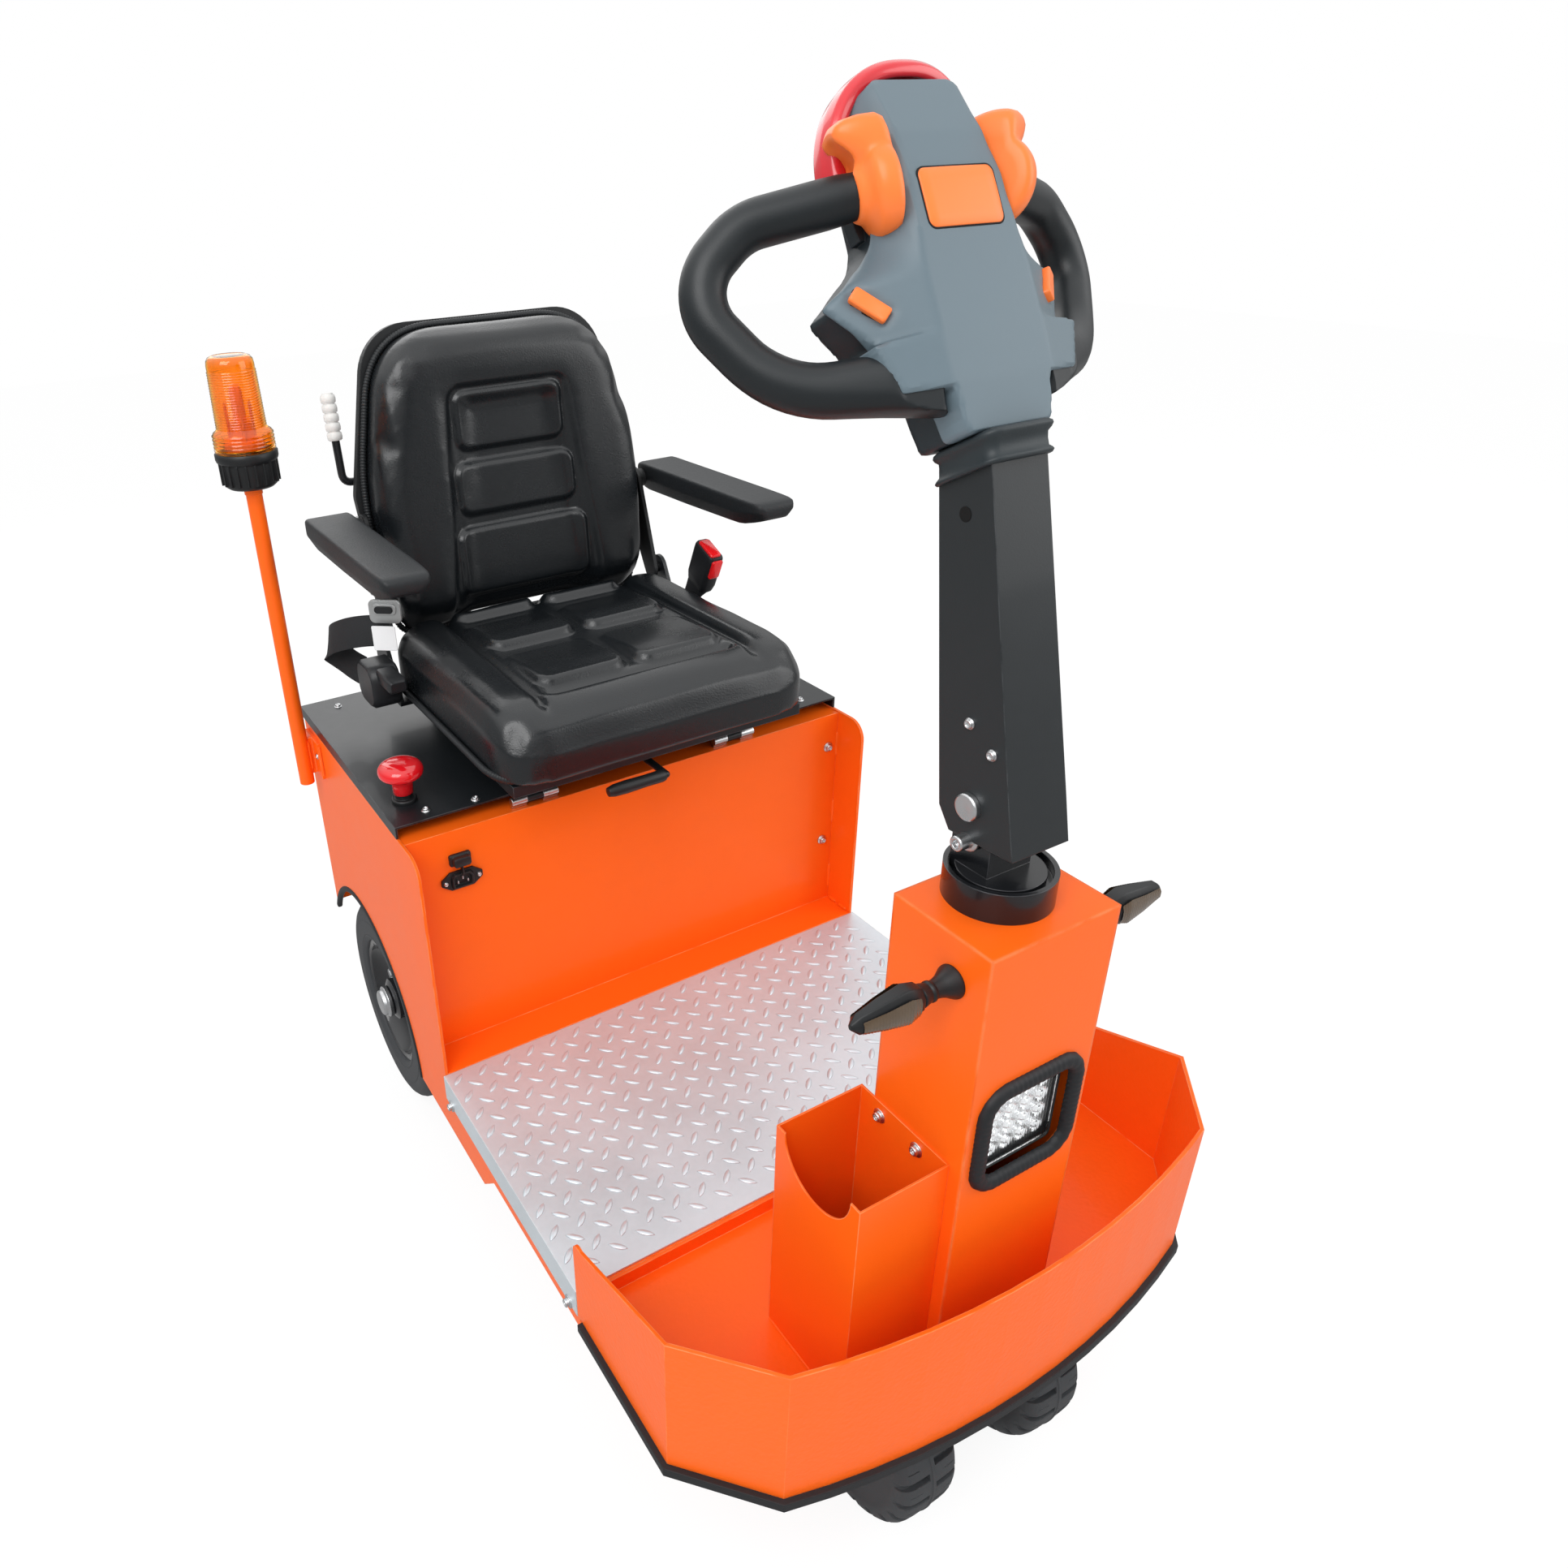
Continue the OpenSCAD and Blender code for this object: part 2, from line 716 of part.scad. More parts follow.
module seat_pan() {
    ear_t = 6;
    ear_x = cushion_w / 2 + 3;
    foot_y = recline_y - 70;
    color(black) placed() {
        block([-pan_w / 2, 12 - cushion_front, rail_top], [pan_w / 2, recline_y + ear_t, pan_top]);
        block([-ear_x - ear_t, foot_y, rail_top], [ear_x + ear_t, recline_y + ear_t, rail_top + ear_t]);
        for (x = [ear_x, -ear_x - ear_t]) difference() {
            prism_x(x, x + ear_t) hull() {
                translate([recline_y, recline_z]) circle(20);
                translate([foot_y, rail_top]) square([recline_y + ear_t - foot_y, ear_t]);
            }
            rod_x(pivot_r + run_gap, x - 1, x + ear_t + 1, recline_y, recline_z);
        }
    }
}

module seat_cushion() {
    y0 = -cushion_front;
    z0 = pan_top + seat_gap;
    roll = 34;
    color(black) placed() intersection() {
        translate([0, y0 + cushion_l / 2, z0]) linear_extrude(cushion_h) round_rect(cushion_w, cushion_l, 60);
        prism_x(-cushion_w, cushion_w) polygon(concat(
            [[y0 + cushion_l, z0], [y0 + cushion_l, z0 + cushion_h - 16]],
            arc(y0 + roll, z0 + cushion_h - roll, roll, 90, 180, 6),
            [[y0, z0]]
        ));
    }
}

// Place of the stop switch, in the cover's right front corner
module on_cover_corner() {
    translate([36 - half_w, cover_y + 62, cover_z]) children();
}

module stop_switch() {
    color("#6b6e72") placed() on_cover_corner() {
        cylinder(r = 17, h = 8);
        cylinder(r = 11, h = stop_h);
    }
}

module stop_knob() {
    color("#d8141c") placed() on_cover_corner() translate([0, 0, stop_h]) {
        cylinder(r1 = 14, r2 = knob_r - 1, h = 12);
        translate([0, 0, 12]) cylinder(r = knob_r, h = 8);
        translate([0, 0, 20]) cylinder(r1 = knob_r, r2 = knob_r - 8, h = 6);
    }
}

module belt_retractor() {
    x1 = -cushion_w / 2 - 9;
    color(black) placed() {
        block([x1 - 44, recline_y - 96, rail_top + 8], [x1, recline_y - 20, rail_top + 76]);
        block([x1 - 34, recline_y - 140, rail_top + 44], [x1 - 6, recline_y - 96, rail_top + 64]);
    }
}

module belt_buckle() {
    x0 = cushion_w / 2 + 9;
    stalk_t = 8;
    stalk_l = 90;
    buckle_t = 26;
    buckle_l = 70;
    color(black) placed() translate([x0, recline_y - 60, rail_top + 12]) rotate([24, 0, 0]) {
        block([0, -20, 0], [stalk_t, 20, stalk_l]);
        block([0, -buckle_t, stalk_l], [buckle_t, buckle_t, stalk_l + buckle_l]);
    }
}

// Local frame of the backrest: foot on the recline axis, leaning back
module on_backrest() {
    translate([0, recline_y, recline_z]) rotate([-back_lean, 0, 0]) children();
}

module backrest_outline(grow) {
    top_r = 70;
    offset(r = grow) hull() {
        for (s = [-1, 1]) {
            translate([s * (back_x - 40), 40]) circle(30);
            translate([s * (back_x - 30), back_h * 0.45]) circle(30);
            translate([s * (back_x - top_r - 36), back_h - top_r]) circle(top_r);
        }
    }
}

module backrest_shell() {
    plate_x = back_x + 2;
    color(black) placed() {
        on_backrest() translate([0, back_t / 2 + shell_t, 0]) rotate([90, 0, 0])
            linear_extrude(shell_t) backrest_outline(8);
        for (s = [0, 1]) mirror([s, 0, 0]) {
            prism_x(plate_x, plate_x + 6) hull() {
                translate([recline_y, recline_z]) circle(16);
                translate([arm_y, arm_pivot_z]) circle(18);
                translate([arm_y - 4, arm_pivot_z - 60]) circle(16);
            }
            rod_x(pivot_r, plate_x, cushion_w / 2 + 12, recline_y, recline_z);
            rod_x(14, plate_x, cushion_w / 2 + 6 - seat_gap, arm_y, arm_pivot_z);
            rod_x(pivot_r, plate_x, cushion_w / 2 + 6 + arm_w / 2, arm_y, arm_pivot_z);
        }
    }
}

module backrest_pad() {
    color(black) placed() on_backrest() translate([0, back_t / 2 - seat_gap, 0]) rotate([90, 0, 0])
        linear_extrude(back_t) backrest_outline(0);
}

module recline_lever() {
    x0 = 40 - back_x;
    x1 = -back_x - 14;
    y0 = back_t / 2 + shell_t;
    y1 = y0 + 16;
    color("#e8e8e6") placed() on_backrest() translate([0, 0, 205]) {
        translate([x0, y0, 0]) rotate([-90, 0, 0]) cylinder(r = 6, h = y1 - y0);
        translate([x0, y1, 0]) sphere(r = 6);
        rod_x(6, x1, x0, y1, 0);
        translate([x1, y1, 0]) sphere(r = 6);
        translate([x1, y1, 0]) cylinder(r = 6, h = 60);
        translate([x1, y1, 60]) cylinder(r = 11, h = 66);
    }
}

module armrest(s) {
    x0 = s * (cushion_w / 2 + 6);
    x1 = s * (cushion_w / 2 + 6 + arm_w);
    color(black) placed() difference() {
        prism_x(min(x0, x1), max(x0, x1)) hull() {
            translate([arm_y, arm_pivot_z]) circle(arm_t / 2);
            translate([arm_y - arm_l + 12, arm_z - 12]) circle(12);
            translate([arm_y - arm_l + 60, arm_z - arm_t + 8]) circle(8);
        }
        rod_x(pivot_r + run_gap, min(x0, (x0 + x1) / 2) - 1, max(x0, (x0 + x1) / 2) + 1, arm_y, arm_pivot_z);
    }
}

module armrest_left() {
    armrest(1);
}

module armrest_right() {
    armrest(-1);
}

// ---------------------------------------------------------------- steering

module steering_yoke() {
    flange_r = ring_r - 10;
    flange_t = 8;
    block_w = post_w - 2 * post_t - 4;
    color(black) placed() difference() {
        union() {
            translate([0, -king_y, fork_top - 16]) cylinder(r = king_r, h = yoke_z - fork_top + 16);
            translate([0, -king_y, yoke_z]) cylinder(r = flange_r, h = flange_t);
            block([-block_w / 2, -pivot_y - lug_r, yoke_z], [block_w / 2, -pivot_y + lug_r, pivot_z]);
            rod_x(lug_r, -block_w / 2, block_w / 2, -pivot_y, pivot_z);
        }
        rod_x(pivot_r + run_gap, -post_w, post_w, -pivot_y, pivot_z);
    }
}

module steering_fork() {
    leg_w = 2 * (front_x - front_w / 2) - 16;
    plate_t = 16;
    color(black) placed() difference() {
        union() {
            translate([0, -king_y, fork_top - plate_t]) cylinder(r = bearing_r, h = plate_t);
            block([-leg_w / 2, -king_y - fork_l / 2, front_r],
                  [leg_w / 2, -king_y + fork_l / 2, fork_top - plate_t]);
            rod_x(fork_l / 2, -leg_w / 2, leg_w / 2, -king_y, front_r);
        }
        translate([0, -king_y, fork_top - plate_t]) cylinder(r = king_r, h = plate_t + 1);
        rod_x(front_axle_r, -leg_w, leg_w, -king_y, front_r);
    }
}

module front_axle() {
    reach = front_x + front_w / 2 - 6;
    color(steel) placed() rod_x(front_axle_r, -reach, reach, -king_y, front_r);
}

// Local frame of the tiller: origin on the pivot, Z up along the post
module on_post() {
    translate([0, -pivot_y, pivot_z]) rotate([-post_lean, 0, 0]) children();
}

// Height of the head's underside at y in the post's frame
function head_floor(y) = post_l - (y + post_front) * tan(head_lean - post_lean);

// Post's side outline in the local (y, z), shrunk by t for the hollow
module post_outline(t) {
    front = t - post_front;
    foot_back = post_foot - post_front - t;
    head_back = post_head - post_front - t;
    polygon([[front, -41], [foot_back - 9, -28], [foot_back, -6],
             [head_back, head_floor(head_back) - t], [front, head_floor(front) - t]]);
}

// Post's front view: tapers from its foot to its head, t in from each side
module post_front_view(t) {
    w0 = post_w / 2 - t;
    w1 = post_top_w / 2 - t;
    translate([0, post_l, 0]) rotate([90, 0, 0]) linear_extrude(2 * post_l)
        polygon([[-w0, -60], [w0, -60], [w0, 0], [w1, post_l], [-w1, post_l], [-w0, 0]]);
}

module tiller_post() {
    slot_top = 12;
    w = post_w / 2;
    color(black) placed() on_post() {
        difference() {
            intersection() {
                prism_x(-w, w) post_outline(0);
                post_front_view(0);
            }
            intersection() {
                prism_x(-w, w) post_outline(post_t);
                post_front_view(post_t);
            }
            // open foot, and the slot in the rear wall that lets the post swing back
            block([post_t - w, post_t - post_front, -60], [w - post_t, post_foot, slot_top]);
        }
        rod_x(pivot_r, -w - 4, w + 4, 0, 0);
    }
}

module tiller_collar() {
    lip = 6;
    h = 24;
    y0 = -post_front - lip;
    y1 = post_head - post_front + lip + 4;
    x = post_top_w / 2 + lip + 1;
    color(rubber) placed() on_post() difference() {
        prism_x(-x, x) polygon([[y0, head_floor(y0) - h], [y1, head_floor(y1) - h], [y1, head_floor(y1)],
                                [y0, head_floor(y0)]]);
        intersection() {
            prism_x(-x, x) post_outline(0);
            post_front_view(0);
        }
    }
}

// Local frame of the control head: x across, y back from its front face, z up along it
module on_head() {
    on_post() translate([0, -post_front, post_l]) rotate([post_lean - head_lean, 0, 0]) children();
}

// Outline of the grey cover: [height along the head, half-width]
COVER_OUTLINE = [[0, 44], [36, 49], [38, 91], [74, 104], [104, 137], [118, 113], [138, 84], [160, 62],
                 [236, 58], [252, 52], [264, 40]];
// Front surface of the cover in side view: [depth, height along the head]
COVER_CROWN = [[10, 0], [3, 38], [0, 74], [0, 188], [9, 225], [20, 264]];
// Outline of the dark housing: [height along the head, half-width]
HOUSING_OUTLINE = [[0, 38], [36, 43], [44, 84], [74, 98], [104, 128], [116, 108], [138, 78], [160, 56],
                   [208, 56]];

// Symmetric outline from [height, half-width] rows, stretched with the head's length
module head_outline(rows) {
    pts = [for (r = rows) [r[1], r[0] * head_k]];
    polygon(concat(pts, [for (i = [len(pts) - 1:-1:0]) [-pts[i][0], pts[i][1]]]));
}

// Local frame of a handle loop: X out along its first straight, Z up along the head
module on_grip() {
    translate([grip_root, grip_depth, grip_height]) rotate([0, 0, grip_sweep]) children();
}

// Room for a handle loop's two ends and its paddle, grown by gap
module grip_room(gap) {
    end = loop_line(0, 0, 0, 0)[len(loop_line(0, 0, 0, 0)) - 1];
    last = LOOP_STEPS[len(LOOP_STEPS) - 1][0];
    on_grip() {
        rod_x(grip_r + gap, 0, 2 * grip_root, 0, 0);
        rod_x(paddle_r + gap, paddle_x - gap, 2 * grip_root, 0, 0);
        translate([end[0], 0, end[1]]) rotate([0, -end[2], 0]) rod_x(grip_foot_r + gap, -last, 0, 0, 0);
    }
}

module head_cover() {
    wing = 140;
    fall = (wing - flat_w) * tan(wing_slope);
    color("#5b6670") placed() on_head() difference() {
        intersection() {
            translate([0, head_t, 0]) rotate([90, 0, 0]) linear_extrude(head_t) head_outline(COVER_OUTLINE);
            linear_extrude(head_l) polygon([[-wing, head_t], [-wing, fall], [-flat_w, 0], [flat_w, 0],
                                            [wing, fall], [wing, head_t]]);
            prism_x(-wing, wing) polygon(concat([[head_t, 0]], [for (c = COVER_CROWN) [c[0], c[1] * head_k]],
                                                [[head_t, head_l]]));
        }
        for (s = [0, 1]) mirror([s, 0, 0]) grip_room(seat_gap);
    }
}

module head_housing() {
    dome_t = housing_t - 14;
    color("#2b3036") placed() on_head() difference() {
        union() {
            translate([0, head_t + housing_t, 0]) rotate([90, 0, 0])
                linear_extrude(housing_t) head_outline(HOUSING_OUTLINE);
            // dome behind the cover's top
            translate([0, head_t + dome_t, dome_z]) rotate([90, 0, 0]) linear_extrude(dome_t) difference() {
                circle(dome_r - rim_t - seat_gap);
                translate([-dome_r, dome_cut - 2 * dome_r]) square(2 * dome_r);
            }
        }
        for (s = [0, 1]) mirror([s, 0, 0]) grip_room(seat_gap);
    }
}

module head_plate() {
    plate_t = 2.5;
    color(orange) placed() on_head() translate([0, 0, 173 * head_k]) rotate([90, 0, 0])
        linear_extrude(plate_t) round_rect(74, 44, 6);
}

// Wide red rim round the top of the head
module crash_bumper() {
    depth = 28;
    color("#c8202c") placed() on_head() translate([0, head_t - 8, dome_z]) difference() {
        rotate([-90, 0, 0]) cylinder(r = dome_r, h = depth);
        translate([0, -1, 0]) rotate([-90, 0, 0]) cylinder(r = dome_r - rim_t, h = depth + 2);
        block([-dome_r - 1, -1, -dome_r - 1], [dome_r + 1, depth + 1, dome_cut]);
    }
}

// Stations [x, z, heading] of a loop's middle line, from step i on, bending towards -Z
function loop_line(i, x, z, heading) =
    i == len(LOOP_STEPS) ? [[x, z, heading]] :
    let (
        x1 = x + LOOP_STEPS[i][0] * cos(heading),
        z1 = z + LOOP_STEPS[i][0] * sin(heading),
        bend = LOOP_STEPS[i][1],
        turn = LOOP_STEPS[i][2],
        cx = x1 + bend * sin(heading),
        cz = z1 - bend * cos(heading),
        bends = turn == 0 ? [] : [for (k = [0:5]) let (h = heading - turn * k / 6)
            [cx - bend * sin(h), cz + bend * cos(h), h]],
        last = heading - turn
    )
    concat([[x, z, heading]], bends,
           loop_line(i + 1, cx - bend * sin(last), cz + bend * cos(last), last));

// A closed tube round the stations; its radius grows from r0 to r1 along them
module tube_along(line, r0, r1) {
    n = LOOP_SIDES;
    m = len(line);
    polyhedron(
        points = [for (j = [0:m - 1], k = [0:n - 1]) let (st = line[j], a = 360 * k / n,
            r = r0 + (r1 - r0) * max(0, 2 * j / (m - 1) - 1))
            [st[0] - r * cos(a) * sin(st[2]), r * sin(a), st[1] + r * cos(a) * cos(st[2])]],
        faces = concat(
            [[for (k = [0:n - 1]) k]],
            [for (j = [0:m - 2], k = [0:n - 1])
                [j * n + k, (j + 1) * n + k, (j + 1) * n + (k + 1) % n, j * n + (k + 1) % n]],
            [[for (k = [n - 1:-1:0]) (m - 1) * n + k]]
        )
    );
}

module handle_loops() {
    color(rubber) placed() on_head() for (s = [0, 1]) mirror([s, 0, 0])
        on_grip() tube_along(loop_line(0, 0, 0, 0), grip_r, grip_foot_r);
}

module thumb_paddles() {
    hub_w = 22;
    wing_y = -paddle_r * 0.6;
    color(orange) placed() on_head() for (s = [0, 1]) mirror([s, 0, 0]) on_grip() difference() {
        union() {
            rod_x(paddle_r, paddle_x, paddle_x + hub_w, 0, 0);
            translate([0, wing_y + 14, 0]) rotate([90, 0, 0]) linear_extrude(14)
                polygon([[12, 16], [28, 8], [42, 32], [30, 37]]);
        }
        rod_x(grip_r + seat_gap, 0, 2 * grip_root, 0, 0);
    }
}

module rocker_switches() {
    w = 30;
    t = 8;
    x = 104;
    y = (x - flat_w) * tan(wing_slope) - seat_gap;
    color(orange) placed() on_head() for (s = [-1, 1]) translate([s * x, y, 100 * head_k])
        rotate([0, 0, s * wing_slope]) translate([0, -t / 2, 0]) rotate([0, s * 38, 0])
            cube([w, t, 14], center = true);
}

// ---------------------------------------------------------------- wheels

// Tyre section in (radius, width), centred on its middle plane
module tyre_section(r, rim, w) {
    shoulder = w * 0.16;
    polygon([[rim, -w / 2 + 6], [rim + 10, -w / 2], [r - shoulder, -w / 2], [r - 4, -w / 2 + shoulder * 0.6],
             [r, -w / 2 + shoulder], [r, w / 2 - shoulder], [r - 4, w / 2 - shoulder * 0.6],
             [r - shoulder, w / 2], [rim + 10, w / 2], [rim, w / 2 - 6]]);
}

module wheel_at(x, y, z) {
    placed() translate([x, y, z]) rotate([0, 90, 0]) children();
}

module front_tyre_left() {
    color(rubber) wheel_at(front_x, -king_y, front_r)
        rotate_extrude() tyre_section(front_r, front_rim_r, front_w);
}

module front_tyre_right() {
    color(rubber) wheel_at(-front_x, -king_y, front_r)
        rotate_extrude() tyre_section(front_r, front_rim_r, front_w);
}

module front_rims() {
    face = front_w / 2 - 6;
    for (s = [-1, 1]) color(black) wheel_at(s * front_x, -king_y, front_r) difference() {
        cylinder(r = front_rim_r, h = 2 * face, center = true);
        for (m = [-1, 1]) translate([0, 0, m * face]) difference() {
            cylinder(r = front_rim_r - 8, h = 36, center = true);
            cylinder(r = 26, h = 40, center = true);
        }
        cylinder(r = front_axle_r + run_gap, h = front_w, center = true);
    }
}

module rear_tyre_left() {
    color(rubber) wheel_at(half_w - rear_inset - rear_w / 2, rear_y, rear_r)
        rotate_extrude() tyre_section(rear_r, rear_rim_r, rear_w);
}

module rear_tyre_right() {
    color(rubber) wheel_at(-half_w + rear_inset + rear_w / 2, rear_y, rear_r)
        rotate_extrude() tyre_section(rear_r, rear_rim_r, rear_w);
}

module rear_rim(s) {
    color(black) wheel_at(s * (half_w - rear_inset - rear_w / 2), rear_y, rear_r) difference() {
        cylinder(r = rear_rim_r, h = rear_w - 12, center = true);
        for (m = [-1, 1]) translate([0, 0, m * (rear_w / 2 - 6)]) difference() {
            cylinder(r = rear_rim_r - 9, h = 56, center = true);
            cylinder(r = 34, h = 60, center = true);
        }
        cylinder(r = stub_r + run_gap, h = rear_w, center = true);
    }
}

module rear_rim_left() {
    rear_rim(1);
}

module rear_rim_right() {
    rear_rim(-1);
}

chassis_frame();
side_plate_left();
side_plate_right();
front_panel();
rear_panel();
deck_plate();
nose_tray();
bumper_strip();
column();
side_bin();
work_lamp();
lamp_trim();
turn_signals();
steering_ring();
battery();
rear_axle();
tow_hitch();
charge_inlet();
beacon_pole();
beacon_base();
beacon_lens();
lid_hinge();
cover_plate();
seat_rails();
seat_pan();
seat_cushion();
stop_switch();
stop_knob();
belt_retractor();
belt_buckle();
backrest_shell();
backrest_pad();
recline_lever();
armrest_left();
armrest_right();
steering_yoke();
steering_fork();
front_axle();
tiller_post();
tiller_collar();
head_housing();
head_cover();
head_plate();
crash_bumper();
handle_loops();
thumb_paddles();
rocker_switches();
front_tyre_left();
front_tyre_right();
front_rims();
rear_tyre_left();
rear_tyre_right();
rear_rim_left();
rear_rim_right();
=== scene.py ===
from math import cos, pi, radians, sin, tau

import bmesh
import bpy
import numpy as np
from mathutils import Euler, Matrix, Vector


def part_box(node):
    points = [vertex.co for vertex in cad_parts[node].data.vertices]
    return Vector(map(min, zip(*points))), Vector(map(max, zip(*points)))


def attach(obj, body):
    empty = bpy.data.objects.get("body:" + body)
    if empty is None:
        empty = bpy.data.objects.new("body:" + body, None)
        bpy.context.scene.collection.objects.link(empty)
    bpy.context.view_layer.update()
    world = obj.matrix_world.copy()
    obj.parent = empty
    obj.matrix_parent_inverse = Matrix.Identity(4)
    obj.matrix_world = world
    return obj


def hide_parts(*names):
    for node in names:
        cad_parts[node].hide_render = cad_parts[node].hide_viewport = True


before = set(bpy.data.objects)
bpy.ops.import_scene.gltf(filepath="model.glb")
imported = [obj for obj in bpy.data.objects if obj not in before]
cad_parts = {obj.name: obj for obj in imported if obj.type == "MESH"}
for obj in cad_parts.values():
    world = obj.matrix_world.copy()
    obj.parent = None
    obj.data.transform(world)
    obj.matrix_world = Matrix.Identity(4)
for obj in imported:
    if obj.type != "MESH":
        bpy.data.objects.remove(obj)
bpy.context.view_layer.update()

# ---------------------------------------------------------------- camera and studio
# A long look down on the tractor's right front corner, as a person sees it from a
# step away. White room, one large soft lamp over the left shoulder, two fillers.
scene = bpy.context.scene
view = bpy.data.cameras.new("camera")
view.lens = 25.973
view.sensor_width = 36.0
view.shift_x = 0.1105
view.shift_y = -0.0178
view.clip_start = 0.05
camera = bpy.data.objects.new("camera", view)
camera.location = (-0.65838, -1.0731, 1.36305)
camera.rotation_euler = Euler((radians(62.1855), radians(2.1737), radians(-29.2604)), "XYZ")
scene.collection.objects.link(camera)
scene.camera = camera
scene.view_settings.view_transform = "Standard"

# [name, place, turn in degrees, size, power]
STUDIO_LAMPS = [
    ["key_lamp", (-2.2, -1.6, 3.4), (40, 0, -52), 2.4, 84.0],
    ["side_lamp", (2.6, -1.9, 2.0), (62, 0, 52), 2.2, 34.0],
    ["back_lamp", (0.4, 3.2, 2.6), (-58, 0, 0), 2.6, 28.0],
]
for name, spot, turn, size, power in STUDIO_LAMPS:
    lamp = bpy.data.lights.new(name, "AREA")
    lamp.size = size
    lamp.energy = power
    lamp_object = bpy.data.objects.new(name, lamp)
    lamp_object.location = spot
    lamp_object.rotation_euler = tuple(radians(a) for a in turn)
    scene.collection.objects.link(lamp_object)


def shader_node(tree, kind, inputs=None, **settings):
    """A shader node with its settings made, and its inputs linked to sockets or filled with values."""
    node = tree.nodes.new("ShaderNode" + kind)
    for key, value in settings.items():
        setattr(node, key, value)
    for label, value in (inputs or {}).items():
        if isinstance(value, bpy.types.NodeSocket):
            tree.links.new(value, node.inputs[label])
        else:
            node.inputs[label].default_value = value
    return node


def math_node(tree, operation, a, b, clamp=False):
    """The result of a Math node on links or plain numbers."""
    return shader_node(tree, "Math", {0: a, 1: b}, operation=operation, use_clamp=clamp).outputs[0]


# The room is white to the eye and a little dimmer as a source of light. What glossy faces mirror
# is an overcast sky, bright overhead and grey near the horizon (Incoming points back along a ray).
room = bpy.data.worlds.new("room")
room.use_nodes = True
scene.world = room
tree = room.node_tree
tree.nodes.clear()
ray = shader_node(tree, "LightPath").outputs
looked_at = math_node(tree, "MAXIMUM", ray["Is Camera Ray"], ray["Is Transmission Ray"])
level = shader_node(tree, "MapRange", {"Value": looked_at, "To Min": 0.74, "To Max": 1.0})
incoming = shader_node(tree, "SeparateXYZ", {0: shader_node(tree, "NewGeometry").outputs["Incoming"]})
overcast = shader_node(tree, "MapRange", {"Value": incoming.outputs["Z"], "From Min": 0.15,
    "From Max": -0.95, "To Min": 0.25, "To Max": 1.7}, interpolation_type="SMOOTHSTEP")
mirrored = math_node(tree, "SUBTRACT", ray["Is Glossy Ray"], ray["Is Transmission Ray"], True)
strength = shader_node(tree, "Mix", {0: mirrored, 2: level.outputs["Result"],
    3: overcast.outputs["Result"]})
sky = shader_node(tree, "Background", {"Color": (1, 1, 1, 1), "Strength": strength.outputs[0]})
shader_node(tree, "OutputWorld", {"Surface": sky.outputs["Background"]})


def room_floor():
    """The floor: a square sheet under the wheels, white to the eye with a faint shadow."""
    reach = 9.0
    mesh = bpy.data.meshes.new("floor")
    mesh.from_pydata([(-reach, -reach, 0), (reach, -reach, 0), (reach, reach, 0), (-reach, reach, 0)], [],
        [(0, 1, 2, 3)])
    floor = bpy.data.objects.new("floor", mesh)
    scene.collection.objects.link(floor)
    paint = bpy.data.materials.new("floor_white")
    paint.use_nodes = True
    tree = paint.node_tree
    tree.nodes.clear()
    ray = shader_node(tree, "LightPath").outputs
    mirrored = math_node(tree, "SUBTRACT", ray["Is Glossy Ray"], ray["Is Transmission Ray"], True)
    dimmer = shader_node(tree, "MapRange", {"Value": mirrored, "To Min": 1.04, "To Max": 0.42})
    glow = shader_node(tree, "Emission", {"Strength": dimmer.outputs["Result"]})
    matt = shader_node(tree, "BsdfDiffuse", {"Color": (0.93, 0.93, 0.93, 1)})
    bent = math_node(tree, "MAXIMUM", ray["Is Glossy Ray"], ray["Is Transmission Ray"])
    looked_at = math_node(tree, "MAXIMUM", ray["Is Camera Ray"], bent)
    share = math_node(tree, "MULTIPLY", looked_at, 0.86)
    both = shader_node(tree, "MixShader", {0: share, 1: matt.outputs[0], 2: glow.outputs[0]})
    shader_node(tree, "OutputMaterial", {"Surface": both.outputs[0]})
    mesh.materials.append(paint)


room_floor()

# ---------------------------------------------------------------- orange sheet-steel body
# Frame, side plates, panels, nose tray, column, bin and beacon pole are 4 mm sheet and
# tube, folded, seam welded and powder coated orange. The film is thick and slightly
# pebbled and rounds the cut edges; spots along the edges are painted a lighter orange,
# partly as wear and partly as a painted highlight line.
ORANGE = (0.95, 0.128, 0.006)
# Lighter orange for the edge spots: rubbed wear, and a painted highlight line on the top edges.
ORANGE_WORN_AND_HIGHLIT = (1.0, 0.36, 0.14)
BODY_NODES = ["chassis_frame", "side_plate_left", "side_plate_right", "front_panel", "rear_panel",
    "nose_tray", "column", "side_bin", "beacon_pole"]


def node_group(name, inputs, outputs):
    """An empty shader group with the named sockets: inputs as (name, kind, value) rows."""
    group = bpy.data.node_groups.new(name, "ShaderNodeTree")
    for label, kind, value in inputs:
        socket = group.interface.new_socket(label, in_out="INPUT", socket_type=kind)
        if value is not None:
            socket.default_value = value
    for label, kind in outputs:
        group.interface.new_socket(label, in_out="OUTPUT", socket_type=kind)
    return group, group.nodes.new("NodeGroupInput"), group.nodes.new("NodeGroupOutput")


def tone_group():
    """Slow and fast noise added up: a soft unevenness from 0 to 1, as on any real finish."""
    group, start, end = node_group("uneven_tone", [("Vector", "NodeSocketVector", None),
        ("Scale", "NodeSocketFloat", 6.0)], [("Tone", "NodeSocketFloat")])
    where, scale = start.outputs["Vector"], start.outputs["Scale"]
    slow = shader_node(group, "TexNoise", {"Vector": where, "Scale": scale, "Detail": 3.0})
    finer = math_node(group, "MULTIPLY", scale, 14.0)
    fast = shader_node(group, "TexNoise", {"Vector": where, "Scale": finer, "Detail": 2.0})
    faint = math_node(group, "MULTIPLY", fast.outputs["Fac"], 0.3)
    main = math_node(group, "MULTIPLY", slow.outputs["Fac"], 0.7)
    group.links.new(math_node(group, "ADD", main, faint), end.inputs["Tone"])
    return group


